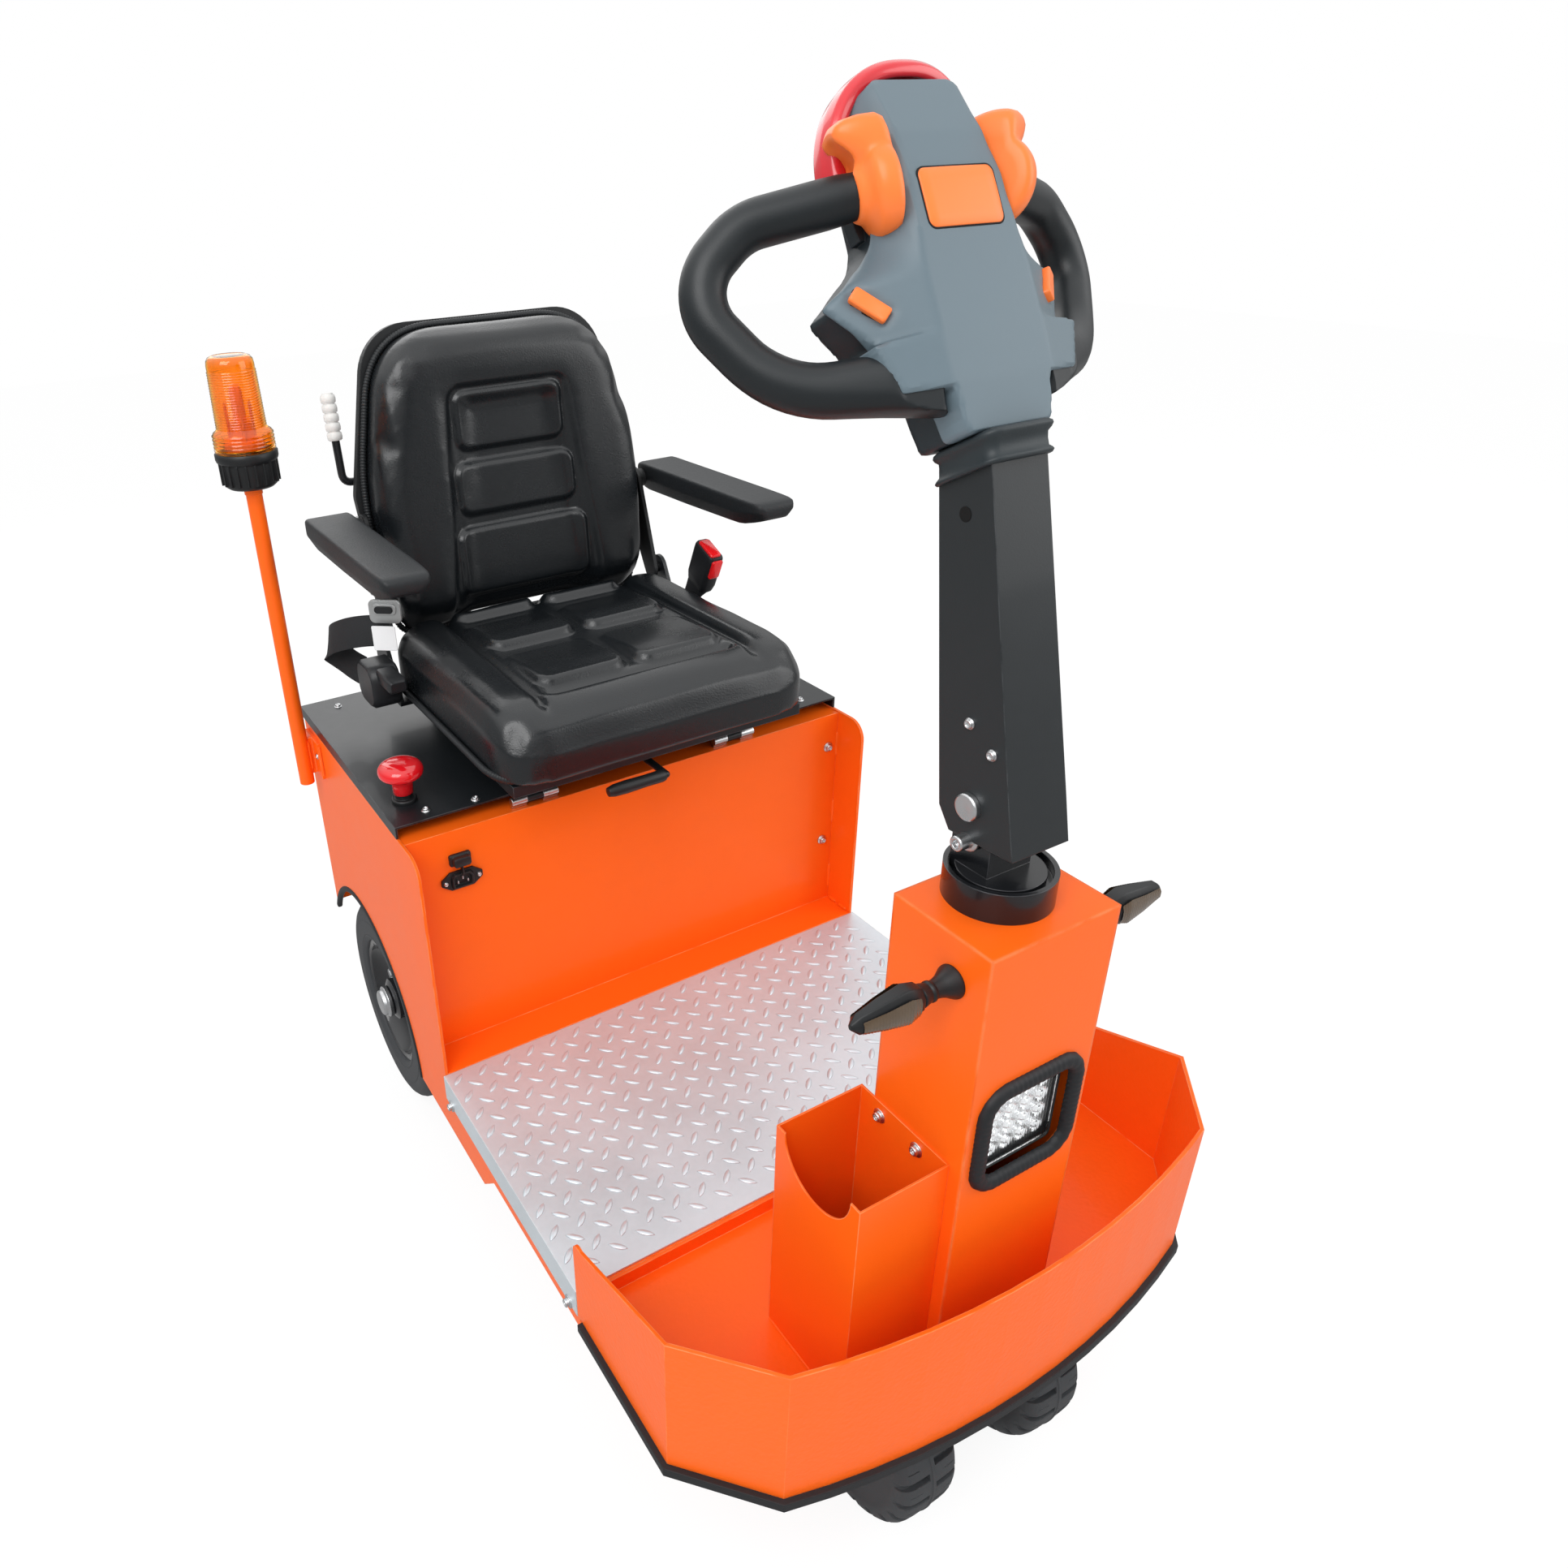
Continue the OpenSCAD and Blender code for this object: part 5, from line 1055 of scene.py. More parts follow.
# ---------------------------------------------------------------- tipping cover and hinge
# A black enamelled sheet lid with folded lips carries the seat; it tips on two zinc
# three-knuckle hinges, and small pan-head screws stand on it beside the seat's rails.
cover_black = finish("cover_black_coat", (0.009, 0.011, 0.013), 0.36, coat=0.1, tone=0.18, tone_scale=5,
    pebble=0.00008, pebble_scale=700, rub_and_highlight=0.6, rub_and_highlight_colour=(0.14, 0.15, 0.16))
for node in ("cover_plate", "seat_rails", "seat_pan"):
    dress(node, cover_black)
dress("lid_hinge", screw_steel)
lid_screws = []
LID_SPOTS = [(-0.302, 0.092), (-0.236, 0.083), (0.302, 0.092), (0.236, 0.083), (-0.302, 0.470),
    (0.302, 0.470)]
for x, y in LID_SPOTS:
    lid_screws += screw(place((x, y, 0.6265)), (0, 0, 1), 0.0042, 0.0030, 0.0062)
add_piece("lid_screws", *joined(lid_screws), "seat_cover", "bright_steel", screw_steel, crisp=40)

# ---------------------------------------------------------------- stop button
# Emergency push button: a glossy red mushroom on a tapered neck, moulded in one piece,
# over a black threaded stem with a nut.
STOP = place((-0.316, 0.133, 0.627))
stem = turned([(0, 0), (0.0170, 0), (0.0170, 0.0040), (0.0155, 0.0055), (0.0115, 0.0055), (0.0115, 0.0150),
    (0, 0.0150)], STOP, (0, 0, 1), 40)
stem_piece = add_piece("stop_stem", *stem, "seat_cover", "switch_grey", black_plastic, crisp=40)
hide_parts("stop_switch")
stop_red = finish("stop_red", (0.72, 0.006, 0.012), 0.16, coat=0.8, tone=0.04, tone_scale=20)
mushroom = turned([(0, 0.0120), (0.0128, 0.0120), (0.0134, 0.0126), (0.0138, 0.0240), (0.0150, 0.0300),
    (0.0180, 0.0340), (0.0240, 0.0362), (0.0282, 0.0385), (0.0298, 0.0420), (0.0300, 0.0455),
    (0.0290, 0.0495), (0.0262, 0.0530), (0.0215, 0.0556), (0.0150, 0.0572), (0.0070, 0.0579), (0, 0.0580)],
    STOP, (0, 0, 1), 64)
knob_piece = add_piece("stop_mushroom", *mushroom, "seat_cover", "red_plastic", stop_red, crisp=70)
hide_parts("stop_knob")

# ---------------------------------------------------------------- seat cushion
# Foam under black vinyl, vacuum formed in one skin: side bolsters, a front roll, two rows
# of channels and six raised pads. A ribbed zip-like welt closes it along the bottom.
vinyl = finish("black_vinyl", (0.0070, 0.0088, 0.0105), 0.27, tone=0.22, spec=0.50, tone_scale=6,
    pebble=0.00022, pebble_scale=520, cells=0.55, rough_swing=0.08)
PAN_TOP, CUSHION_Z, CUSHION_H = 0.6833, 0.7760, 0.0925
FOAM_CUBE, FOAM_REACH, FOAM_FRAMES = 0.006, 0.004, 20


def read(items, key, width, kind=float):
    """One property of all vertices, edges or loops as an array (n, width)."""
    values = np.empty(width * len(items), kind)
    items.foreach_get(key, values)
    return values.reshape(-1, width)


def swell(points, faces):
    """Remeshes a closed form in small cubes, blows it up as cloth for some frames, keeps each point
    within reach of its start (its move evened out with its neighbours'), and returns it subdivided
    once, as its points, faces and outward normals."""
    foam = bpy.data.objects.new("foam", clean_mesh("foam", points, faces, slivers=False))
    scene.collection.objects.link(foam)
    cubes = foam.modifiers.new("cubes", "REMESH")
    cubes.mode = "VOXEL"
    cubes.voxel_size = FOAM_CUBE
    even = foam.modifiers.new("even", "SMOOTH")
    even.factor = 0.5
    even.iterations = 6
    skin = bpy.data.meshes.new_from_object(foam.evaluated_get(bpy.context.evaluated_depsgraph_get()))
    bpy.data.objects.remove(foam)
    soft = bpy.data.objects.new("skin", skin)
    scene.collection.objects.link(soft)
    rest = read(skin.vertices, "co", 3)
    cloth = soft.modifiers.new("cloth", "CLOTH")
    cloth.settings.use_pressure = True
    cloth.settings.uniform_pressure_force = 4.0
    cloth.settings.effector_weights.gravity = 0.0
    cloth.settings.quality = 5
    cloth.point_cache.frame_start = 1
    cloth.point_cache.frame_end = FOAM_FRAMES
    for frame_number in range(1, FOAM_FRAMES + 1):
        scene.frame_set(frame_number)
    blown = soft.evaluated_get(bpy.context.evaluated_depsgraph_get()).to_mesh()
    move = read(blown.vertices, "co", 3) - rest
    soft.modifiers.clear()
    scene.frame_set(1)
    a, b = read(skin.edges, "vertices", 2, int).T
    share = 1.0 + np.bincount(a, minlength=len(move)) + np.bincount(b, minlength=len(move))
    for turn in range(14):
        total = move.copy()
        np.add.at(total, a, move[b])
        np.add.at(total, b, move[a])
        move = total / share[:, None]
    size = np.linalg.norm(move, axis=1)[:, None]
    rest = rest + move * np.minimum(1.0, FOAM_REACH / np.maximum(size, 1e-9))
    skin.vertices.foreach_set("co", rest.ravel())
    skin.update()
    finer = soft.modifiers.new("finer", "SUBSURF")
    finer.levels = finer.render_levels = 1
    fine = bpy.data.meshes.new_from_object(soft.evaluated_get(bpy.context.evaluated_depsgraph_get()))
    bpy.data.objects.remove(soft)
    corners = read(fine.loops, "vertex_index", 1, int).reshape(-1, 4)
    return read(fine.vertices, "co", 3), corners.tolist(), read(fine.vertices, "normal", 3)


def past_corner(qx, qy, corner):
    """Signed distance from a rounded corner, qx and qy being counted from its arc's centre."""
    return np.hypot(np.maximum(qx, 0), np.maximum(qy, 0)) + np.minimum(np.maximum(qx, qy), 0) - corner


def raised_pad(x, y, x0, x1, y0, y1, corner, edge):
    """1 inside a rounded rectangle and 0 outside it, with a soft edge; from its signed distance."""
    qx = np.abs(x - (x0 + x1) / 2) - (x1 - x0) / 2 + corner
    qy = np.abs(y - (y0 + y1) / 2) - (y1 - y0) / 2 + corner
    return smooth_step(0.5 - past_corner(qx, qy, corner) / edge)


CUSHION_OUT = soft_outline([(-0.236, -0.032), (0.236, -0.032), (0.236, 0.391), (-0.236, 0.391)],
    np.array([0.066, 0.066, 0.050, 0.050]), 8)


def cushion_top(x, y):
    """Depth of the top under its highest line: a dished middle between side bolsters, and a
    front roll that turns down."""
    middle = 0.012 * smooth_step((0.168 - np.abs(x)) / 0.036) * smooth_step((y - 0.015) / 0.05)
    roll = 0.030 * np.clip((0.050 - y) / 0.082, 0, 1) ** 2.0
    side = 0.007 * np.clip((np.abs(x) - 0.185) / 0.051, 0, 1) ** 2
    back = 0.003 * np.clip((y - 0.330) / 0.061, 0, 1) ** 2
    return middle + roll + side + back


flat_form = moulded(CUSHION_OUT, cushion_top, CUSHION_H, 0.027, 0.024)
form_points = flat_form[0][:, [0, 2, 1]] * (1, 1, -1) + (0, 0, CUSHION_Z)
cushion_points, cushion_faces, cushion_normals = swell(place(form_points), flat_form[1])
cushion_points[:, 2] = np.maximum(cushion_points[:, 2], PAN_TOP)
x, y = cushion_points[:, 0] - mid_x, cushion_points[:, 1] - rear_y
upper = smooth_step((cushion_normals[:, 2] - 0.15) / 0.3) * smooth_step((cushion_points[:, 2]
    - 0.700) / 0.02)
groove_x = 0.150 + (0.158 - 0.150) * np.clip((0.39 - y) / 0.39, 0, 1)
groove = 0.0105 * np.exp(-((np.abs(x) - groove_x) / 0.0075) ** 2) * smooth_step((y + 0.004) / 0.03)
cross = 0.0085 * np.exp(-((y - 0.047) / 0.010) ** 2) * smooth_step((0.150 - np.abs(x)) / 0.02)
pads = np.zeros(len(x))
for y0, y1 in ((0.064, 0.188), (0.212, 0.318), (0.342, 0.450)):
    falls = 0.35 + 0.65 * smooth_step((y1 - y) / (y1 - y0) * 1.3)
    pads = np.maximum(pads, raised_pad(np.abs(x), y, 0.010, 0.139, y0, y1, 0.020, 0.011) * falls)
shift = upper * (0.0125 * pads - groove - cross - 0.001)
cushion_points = cushion_points + cushion_normals * shift[:, None]
cushion = add_piece("seat_cushion_vinyl", cushion_points, cushion_faces, "seat_cover", "black_vinyl",
    vinyl, crisp=180)
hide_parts("seat_cushion")


def welt(path, up):
    """A ribbed welt: a round cord along a closed path, pinched at every tooth of the zip."""
    radius, pitch = 0.0048, 0.0042
    path = np.asarray(path, float)
    step = np.linalg.norm(np.roll(path, -1, 0) - path, axis=1)
    s = np.concatenate([[0], np.cumsum(step)])
    count = int(s[-1] / pitch) * 3
    t = np.arange(count) * s[-1] / count
    closed = np.concatenate([path, path[:1]])
    fine = xyz(*(np.interp(t, s, values) for values in closed.T))
    teeth = radius * np.array([1.0, 1.0, 0.80])[np.arange(count) % 3]
    return carried(ring_section(1.0, 8), fine, up, scale=teeth, loop=True)


welt_black = finish("welt_black", (0.016, 0.018, 0.020), 0.50, tone=0.15, tone_scale=30)
welt_line = soft_outline([(-0.2355, -0.0215), (0.2355, -0.0215), (0.2355, 0.3875), (-0.2355, 0.3875)],
    np.array([0.072, 0.072, 0.058, 0.058]), 14)
add_piece("cushion_welt", *welt(place(xyz(welt_line[:, 0], welt_line[:, 1], 0.6900)), (0, 0, 1)),
    "seat_cover", "black_vinyl", welt_black, crisp=60)
lip = moulded(welt_line * 0.994, level, 0.0052, 0.0020, 0.08)
# The pan's plastic rim under the welt
add_piece("cushion_rim", place(lip[0][:, [0, 2, 1]] * (1, 1, -1) + (0, 0.0006, 0.6868)), lip[1],
    "seat_cover", "black_plastic", black_plastic, crisp=40)

# Seat slide lever: a bent black rod with a moulded grip under the cushion's front edge
lever = turned([(0, 0.0), (0.0074, 0.001), (0.0086, 0.006), (0.0082, 0.030), (0.0090, 0.060),
    (0.0082, 0.078), (0.0062, 0.086), (0, 0.087)], place((-0.006, -0.0180, 0.641)), (-1, 0, 0.0), 24)
add_piece("slide_lever_grip", *lever, "seat_cover", "black_plastic", black_plastic, crisp=60)

# ---------------------------------------------------------------- backrest
# The back cushion is vacuum formed like the seat: a broad rim round the top and sides, a
# sunk middle with three raised pads. It sits in a black moulded shell, and reclines.
RECLINE = place((0.0, 0.398, 0.767))
BACK_LEAN = radians(8)
on_back = leaning(RECLINE, BACK_LEAN)
BACK_CORNERS = [(-0.202, -0.031), (0.202, -0.031), (0.2225, 0.185), (0.1730, 0.4060), (-0.1730, 0.4060),
    (-0.2225, 0.185)]
back_out = soft_outline(BACK_CORNERS, np.array([0.03, 0.03, 0.07, 0.090, 0.090, 0.07]), 8)


def sunk_middle(x, z, edge):
    """1 in the sunk middle of the backrest, which widens downwards, 0 on its rim."""
    half = 0.097 + (0.126 - 0.097) * np.clip((0.325 - z) / 0.29, 0, 1)
    corner = 0.022
    return smooth_step(-past_corner(np.abs(x) - half + corner, z - 0.326 + corner, corner) / edge)


def back_front(x, z):
    """Depth of the front face: the rim's crest at 0, the middle sunk behind it."""
    foot = 0.005 * np.clip((0.060 - z) / 0.06, 0, 1) + 0.033 * smooth_step((0.016 - z) / 0.028)
    return 0.019 * sunk_middle(x, z, 0.036) + foot + 0.006 * np.clip((z - 0.34) / 0.06, 0, 1) ** 2


back_form = moulded(back_out, back_front, 0.0660, 0.027, 0.024)
soft_back = swell(on_back(back_form[0] + (0, -0.0315, 0)), back_form[1])
local = soft_back[0] - RECLINE
c, s = cos(BACK_LEAN), sin(BACK_LEAN)
bx, by, bz = local[:, 0], local[:, 1] * c - local[:, 2] * s, local[:, 1] * s + local[:, 2] * c
ahead = -(soft_back[2][:, 1] * c - soft_back[2][:, 2] * s)
facing = smooth_step((ahead - 0.2) / 0.4) * smooth_step((0.010 - by) / 0.01)
line_in = 0.0045 * (sunk_middle(bx, bz, 0.010) - sunk_middle(bx, bz, 0.024)) * (bz > 0.0)
pads = np.zeros(len(bx))
for z0, z1, half in ((0.232, 0.312, 0.084), (0.140, 0.212, 0.093), (0.020, 0.119, 0.104)):
    pads = np.maximum(pads, raised_pad(bx, bz, -half, half, z0, z1, 0.017, 0.011))
shift = facing * (0.0085 * pads - line_in - 0.004 * sunk_middle(bx, bz, 0.018)
    - 0.0012 * np.exp(-((pads - 0.08) / 0.06) ** 2))
moved = xyz(bx, np.minimum(by - shift, 0.0347), bz)
back_piece = add_piece("backrest_vinyl", on_back(moved), soft_back[1], "backrest", "black_vinyl", vinyl,
    crisp=180)
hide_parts("backrest_pad")

shell_plastic = finish("backrest_shell_plastic", (0.012, 0.013, 0.014), 0.48, tone=0.12, tone_scale=10,
    pebble=0.00012, pebble_scale=750)
dress("backrest_shell", shell_plastic)
seam = soft_outline([(-0.202, -0.025), (0.202, -0.025), (0.2235, 0.185), (0.1730, 0.4065),
    (-0.1730, 0.4065), (-0.2235, 0.185)], np.array([0.032, 0.032, 0.07, 0.093, 0.093, 0.07]), 14)
add_piece("backrest_welt", *welt(on_back(upright(seam, 0.0290)), (0, 1, 0)), "backrest", "black_vinyl",
    welt_black, crisp=60)

# Blank white tag, welded on the shell's right side
label_white = finish("tag_white", (0.80, 0.81, 0.82), 0.45, tone=0.04, tone_scale=20)
tag = stacked([on_back(xyz(-0.2312 - d, np.array([0.036, 0.048, 0.048, 0.036]),
    np.array([0.098, 0.098, 0.158, 0.158]))) for d in (0, 0.0006)])
add_piece("backrest_tag", *tag, "backrest", "white_plastic", label_white)


def bent_rod(corners, radius, bend):
    """A round rod through corner points, each corner turned on a quadratic arc."""
    corners = np.asarray(corners, float)
    path = [corners[:1]]
    t = np.linspace(0, 1, 8)[:, None]
    for before, corner, after in zip(corners, corners[1:], corners[2:]):
        a = corner + (before - corner) / np.linalg.norm(before - corner) * bend
        b = corner + (after - corner) / np.linalg.norm(after - corner) * bend
        path.append((1 - t) ** 2 * a + 2 * t * (1 - t) * corner + t ** 2 * b)
    path.append(corners[-1:])
    return carried(ring_section(radius, 16), np.concatenate(path), (0.31, 0.53, 0.79))


# Recline lever: bent black rod with a white grip of five finger ribs
rod = bent_rod(on_back([(-0.180, 0.040, 0.205), (-0.182, 0.064, 0.205), (-0.236, 0.065, 0.205),
    (-0.236, 0.065, 0.275)]), 0.0058, 0.014)
add_piece("recline_rod", *rod, "backrest", "black_paint", black_paint, crisp=70)
grip_axis = on_back((0, 0, 1.0)) - on_back((0, 0, 0.0))
GRIP_PITCH = 0.0128
ribs = [(0, 0.0)]
for k in range(5):
    z = k * GRIP_PITCH
    ribs += [(0.0082, z), (0.0104, z + 0.0016), (0.0110, z + 0.0062), (0.0104, z + 0.0108),
        (0.0082, z + 0.0126)]
ribs += [(0.0080, 0.0655), (0, 0.0660)]
ivory = finish("ivory_grip", (0.82, 0.82, 0.80), 0.42, tone=0.05, tone_scale=25, pebble=0.00005,
    pebble_scale=900)
grip = turned(ribs, on_back((-0.236, 0.065, 0.265)), grip_axis, 32)
grip_piece = add_piece("recline_grip", *grip, "backrest", "white_plastic", ivory, crisp=60)
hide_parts("recline_lever")

# ---------------------------------------------------------------- armrests
# Self-skinned foam on a steel arm: flat pebbled top, rounded edges, sides chamfered
# underneath, tapering to the front. They turn up on pins at their rear ends.
arm_foam = finish("armrest_foam", (0.012, 0.014, 0.016), 0.52, tone=0.14, tone_scale=9, pebble=0.00035,
    pebble_scale=430, cells=0.6)
# [distance back, top, bottom, share of the width]
ARM_ROWS = [(0.4692, 0.912, 0.900, 0.62), (0.4682, 0.918, 0.894, 0.80), (0.4640, 0.9245, 0.888, 0.93),
    (0.4560, 0.9275, 0.8835, 0.985), (0.4440, 0.928, 0.8822, 1.0), (0.330, 0.928, 0.8830, 1.0),
    (0.210, 0.928, 0.8855, 1.0), (0.190, 0.928, 0.8862, 1.0), (0.176, 0.928, 0.8885, 0.995),
    (0.158, 0.928, 0.8935, 0.98), (0.142, 0.9278, 0.8985, 0.955), (0.133, 0.9266, 0.9020, 0.91),
    (0.1290, 0.9240, 0.9052, 0.84), (0.1268, 0.9200, 0.9080, 0.72), (0.1262, 0.9160, 0.9110, 0.55)]


def arm_section(top, bottom, share):
    """Section of an armrest: flat top, round upper edges, short upright sides, long chamfers."""
    h, w = top - bottom, 0.068 * share
    r = min(0.0065, 0.4 * h)
    corners = [(-w / 2, top), (w / 2, top), (w / 2, top - 0.52 * h), (w / 2 - 0.011 * share, bottom),
        (-w / 2 + 0.011 * share, bottom), (-w / 2, top - 0.52 * h)]
    return soft_outline(corners, np.array([r, r, 0.4 * r, 0.6 * r, 0.6 * r, 0.4 * r]), 4)


for side, word in SIDES:
    rows = []
    for back, top, bottom, share in ARM_ROWS:
        o = arm_section(top, bottom, share)
        rows.append(place(xyz(side * 0.276 + o[:, 0], back, o[:, 1])))
    arm = add_piece("armrest_foam_" + word, *stacked(rows), word + "_armrest", "black_plastic", arm_foam,
        crisp=32)
    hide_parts("armrest_" + word)

# ---------------------------------------------------------------- seat belt
# Right side: a retractor housing with the webbing folded over it, a steel tongue and a
# blank white tag. Left side: the buckle on its stalk, with a red push button.
belt_black = finish("belt_housing", (0.014, 0.015, 0.017), 0.38, tone=0.12, tone_scale=15, pebble=0.00006,
    pebble_scale=900)
webbing = finish("belt_webbing", (0.014, 0.015, 0.017), 0.70, tone=0.2, tone_scale=40, pebble=0.00030,
    pebble_scale=1500, cells=0.8)


def case_side(outline, out):
    """An outline on the case's outer side, a distance out from its inner one."""
    return place(xyz(-0.246 - out, 0.341 + outline[:, 0], 0.709 + outline[:, 1]))


case = rounded_block([(0.066, 0.058, 0.020, 0.0), (0.072, 0.064, 0.022, 0.0030),
    (0.072, 0.064, 0.022, 0.0380), (0.064, 0.056, 0.020, 0.0430)], case_side)
nose = rounded_block(
    ((0.028, 0.020, 0.005, 0.315), (0.028, 0.020, 0.005, 0.264), (0.022, 0.014, 0.004, 0.259)),
    lambda o, y: place(upright(o + (-0.265, 0.729), y)))
retractor = add_piece("belt_case", *joined([case, nose]), "seat_cover", "black_plastic", belt_black,
    crisp=45)
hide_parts("belt_retractor")
STRAP = [(-0.247, 0.312, 0.792), (-0.266, 0.326, 0.792), (-0.288, 0.348, 0.788), (-0.306, 0.378, 0.776),
    (-0.314, 0.410, 0.760), (-0.309, 0.434, 0.744), (-0.298, 0.434, 0.730), (-0.290, 0.415, 0.720),
    (-0.283, 0.390, 0.716), (-0.276, 0.372, 0.714)]


def eased(corners, count, reach):
    """A line through corner points, sampled evenly and eased by a running mean."""
    corners = np.asarray(corners, float)
    s = np.concatenate([[0], np.cumsum(np.linalg.norm(np.diff(corners, axis=0), axis=1))])
    t = np.linspace(0, s[-1], count)
    line = xyz(*(np.interp(t, s, values) for values in corners.T))
    wide = np.concatenate([np.repeat(line[:1], reach, 0), line, np.repeat(line[-1:], reach, 0)])
    mean = np.ones(2 * reach + 1) / (2 * reach + 1)
    return xyz(*(np.convolve(values, mean, "valid") for values in wide.T))


strap = carried(round_corners(0.0022, 0.0440, 0.0010, 2), place(eased(STRAP, 80, 6)), (0.25, 0.15, 1.0))
add_piece("belt_strap", *strap, "seat_cover", "black_vinyl", webbing, crisp=60)
BELT_WAY = (-0.62, -0.78)


def facing_plate(outline, centre, thickness, bow=0.0):
    """A thin plate with an outline, upright, its face turned the belt's way; bow bends it."""
    out = np.array([*BELT_WAY, 0.0]) / np.hypot(*BELT_WAY)
    across = np.array([out[1], -out[0], 0.0])
    bend = bow * (outline[:, 1] / 0.02) ** 2
    flat = centre + outline[:, :1] * across + outline[:, 1:] * np.array([0, 0, 1.0])
    return stacked([flat + (bend + d)[:, None] * out for d in (0.0, thickness)])


tongue_at = place((-0.2540, 0.3080, 0.8240))
tongue = joined([facing_plate(round_corners(0.046, 0.034, 0.008), tongue_at, 0.0050),
    facing_plate(round_corners(0.034, 0.016, 0.006), tongue_at + (-0.003, -0.004, 0.004), 0.0030)])
tongue_grey = finish("belt_tongue_grey", (0.42, 0.43, 0.43), 0.34, metallic=0.6, tone=0.12, tone_scale=40)
add_piece("belt_tongue", *tongue, "seat_cover", "bright_steel", tongue_grey, bevel=0.0012)
slot = facing_plate(round_corners(0.026, 0.010, 0.0045), tongue_at + (-0.0053, -0.0066, 0.004), 0.0012)
add_piece("belt_tongue_slot", *slot, "seat_cover", "black_plastic", belt_black)
label = facing_plate(round_corners(0.034, 0.036, 0.002, 2), place((-0.2640, 0.2960, 0.7900)), 0.0008,
    bow=0.0016)
add_piece("belt_label", *label, "seat_cover", "white_plastic", label_white)

on_buckle = leaning(place((0.245, 0.338, 0.679)), radians(-24))


def buckle_block(rows):
    """A solid through rounded sections (width, depth, radius, height, how far out) along the stalk."""
    return stacked([on_buckle(xyz(out + o[:, 0], o[:, 1], height))
        for o, height, out in ((round_corners(w, d, r, 5), h, x) for w, d, r, h, x in rows)])


MIDDLE = 0.013
stalk = buckle_block([(0.008, 0.038, 0.003, 0.0, 0.004), (0.008, 0.038, 0.003, 0.080, 0.005),
    (0.018, 0.044, 0.006, 0.092, 0.011)])
house = buckle_block([(0.018, 0.040, 0.006, 0.088, MIDDLE), (0.023, 0.046, 0.007, 0.092, MIDDLE),
    (0.026, 0.051, 0.007, 0.104, MIDDLE), (0.026, 0.052, 0.007, 0.150, MIDDLE),
    (0.0255, 0.051, 0.007, 0.157, MIDDLE), (0.023, 0.048, 0.006, 0.160, MIDDLE)])
buckle = add_piece("buckle_house", *joined([stalk, house]), "seat_cover", "black_plastic", belt_black,
    crisp=40)
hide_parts("belt_buckle")
button = buckle_block([(0.019, 0.040, 0.004, 0.150, MIDDLE), (0.019, 0.040, 0.004, 0.1620, MIDDLE),
    (0.017, 0.038, 0.004, 0.1635, MIDDLE)])
front = rounded_block(((0.019, 0.034, 0.004, 0.024), (0.019, 0.034, 0.004, 0.0275),
    (0.016, 0.030, 0.004, 0.0285)), lambda o, y: on_buckle(upright(o + (MIDDLE, 0.140), -y)))
buckle_red = finish("buckle_red", (0.80, 0.010, 0.014), 0.24, coat=0.5, tone=0.05, tone_scale=30)
add_piece("buckle_button", *joined([button, front]), "seat_cover", "red_plastic", buckle_red, crisp=50)
hinge_screws = []
for side in (-1, 1):
    for y, z in ((0.398, 0.767), (0.432, 0.812)):
        hinge_screws += screw(place((side * 0.2300, y, z)), (side, 0, 0), 0.0062, 0.0042, 0.0100)
add_piece("backrest_screws", *joined(hinge_screws), "backrest", "bright_steel", screw_steel, crisp=40)

# ---------------------------------------------------------------- beacon
# Amber flashing beacon on the pole: black ribbed base, ribbed amber dome with a band of
# small lenses round its foot, and a lamp inside. The pole's steel clip is bolted on.
POLE_TOP = place((POLE_X, POLE_Y, 0.988))
base_profile = [(0, 0), (0.030, 0), (0.0345, 0.0035), (0.0360, 0.0080), (0.0375, 0.0340), (0.0405, 0.0365),
    (0.0415, 0.0395), (0.0415, 0.0465), (0.0400, 0.0485), (0.0335, 0.0490), (0, 0.0490)]
base_parts = [turned(base_profile, POLE_TOP, (0, 0, 1), 64)]
RIBS = 20
tooth = np.array([(-0.0015, 0.0340), (0.0015, 0.0340), (0.0012, 0.0392), (-0.0012, 0.0392)])
for a in np.arange(RIBS) * tau / RIBS:
    out, across = np.array([np.cos(a), np.sin(a), 0.0]), np.array([-np.sin(a), np.cos(a), 0.0])
    base_parts.append(stacked([POLE_TOP + tooth[:, 1:] * out + tooth[:, :1] * across + (0, 0, z)
        for z in (0.0065, 0.0345)]))
beacon_base = add_piece("beacon_black_base", *joined(base_parts), "chassis", "black_plastic",
    black_plastic, crisp=40)
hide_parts("beacon_base")
amber = clear_material("amber_lens", (1.0, 0.42, 0.020), 0.08)
BAND_PITCH, RIB_PITCH, DOME_RIBS = 0.0048, 0.0033, 22
outer = [(0.0400, 0.0), (0.0405, 0.0030)]
for k in range(4):
    z = 0.0040 + k * BAND_PITCH
    outer += [(0.0388, z), (0.0402, z + 0.0018), (0.0402, z + 0.0030), (0.0388, z + 0.0044)]
outer += [(0.0380, 0.0245), (0.0345, 0.0270), (0.0330, 0.0290)]
for k in range(DOME_RIBS):
    z = 0.0300 + k * RIB_PITCH
    shrink = 0.0016 * k / DOME_RIBS
    outer += [(0.0322 - shrink, z), (0.0330 - shrink, z + 0.0011), (0.0330 - shrink, z + 0.0020),
        (0.0322 - shrink, z + 0.0031)]
outer += [(0.0306, 0.1030), (0.0306, 0.1090), (0.0296, 0.1150), (0.0270, 0.1188), (0.0220, 0.1208),
    (0.0130, 0.1216), (0.0, 0.1220)]
DOME_WALL, DOME_IN = 0.0022, 0.1196
inner = [(0.0, DOME_IN)] + [(max(0.0, r - DOME_WALL), min(z, DOME_IN)) for r, z in outer[::-1] if r > 0.0]
inner[-1] = (inner[-1][0], 0.0)
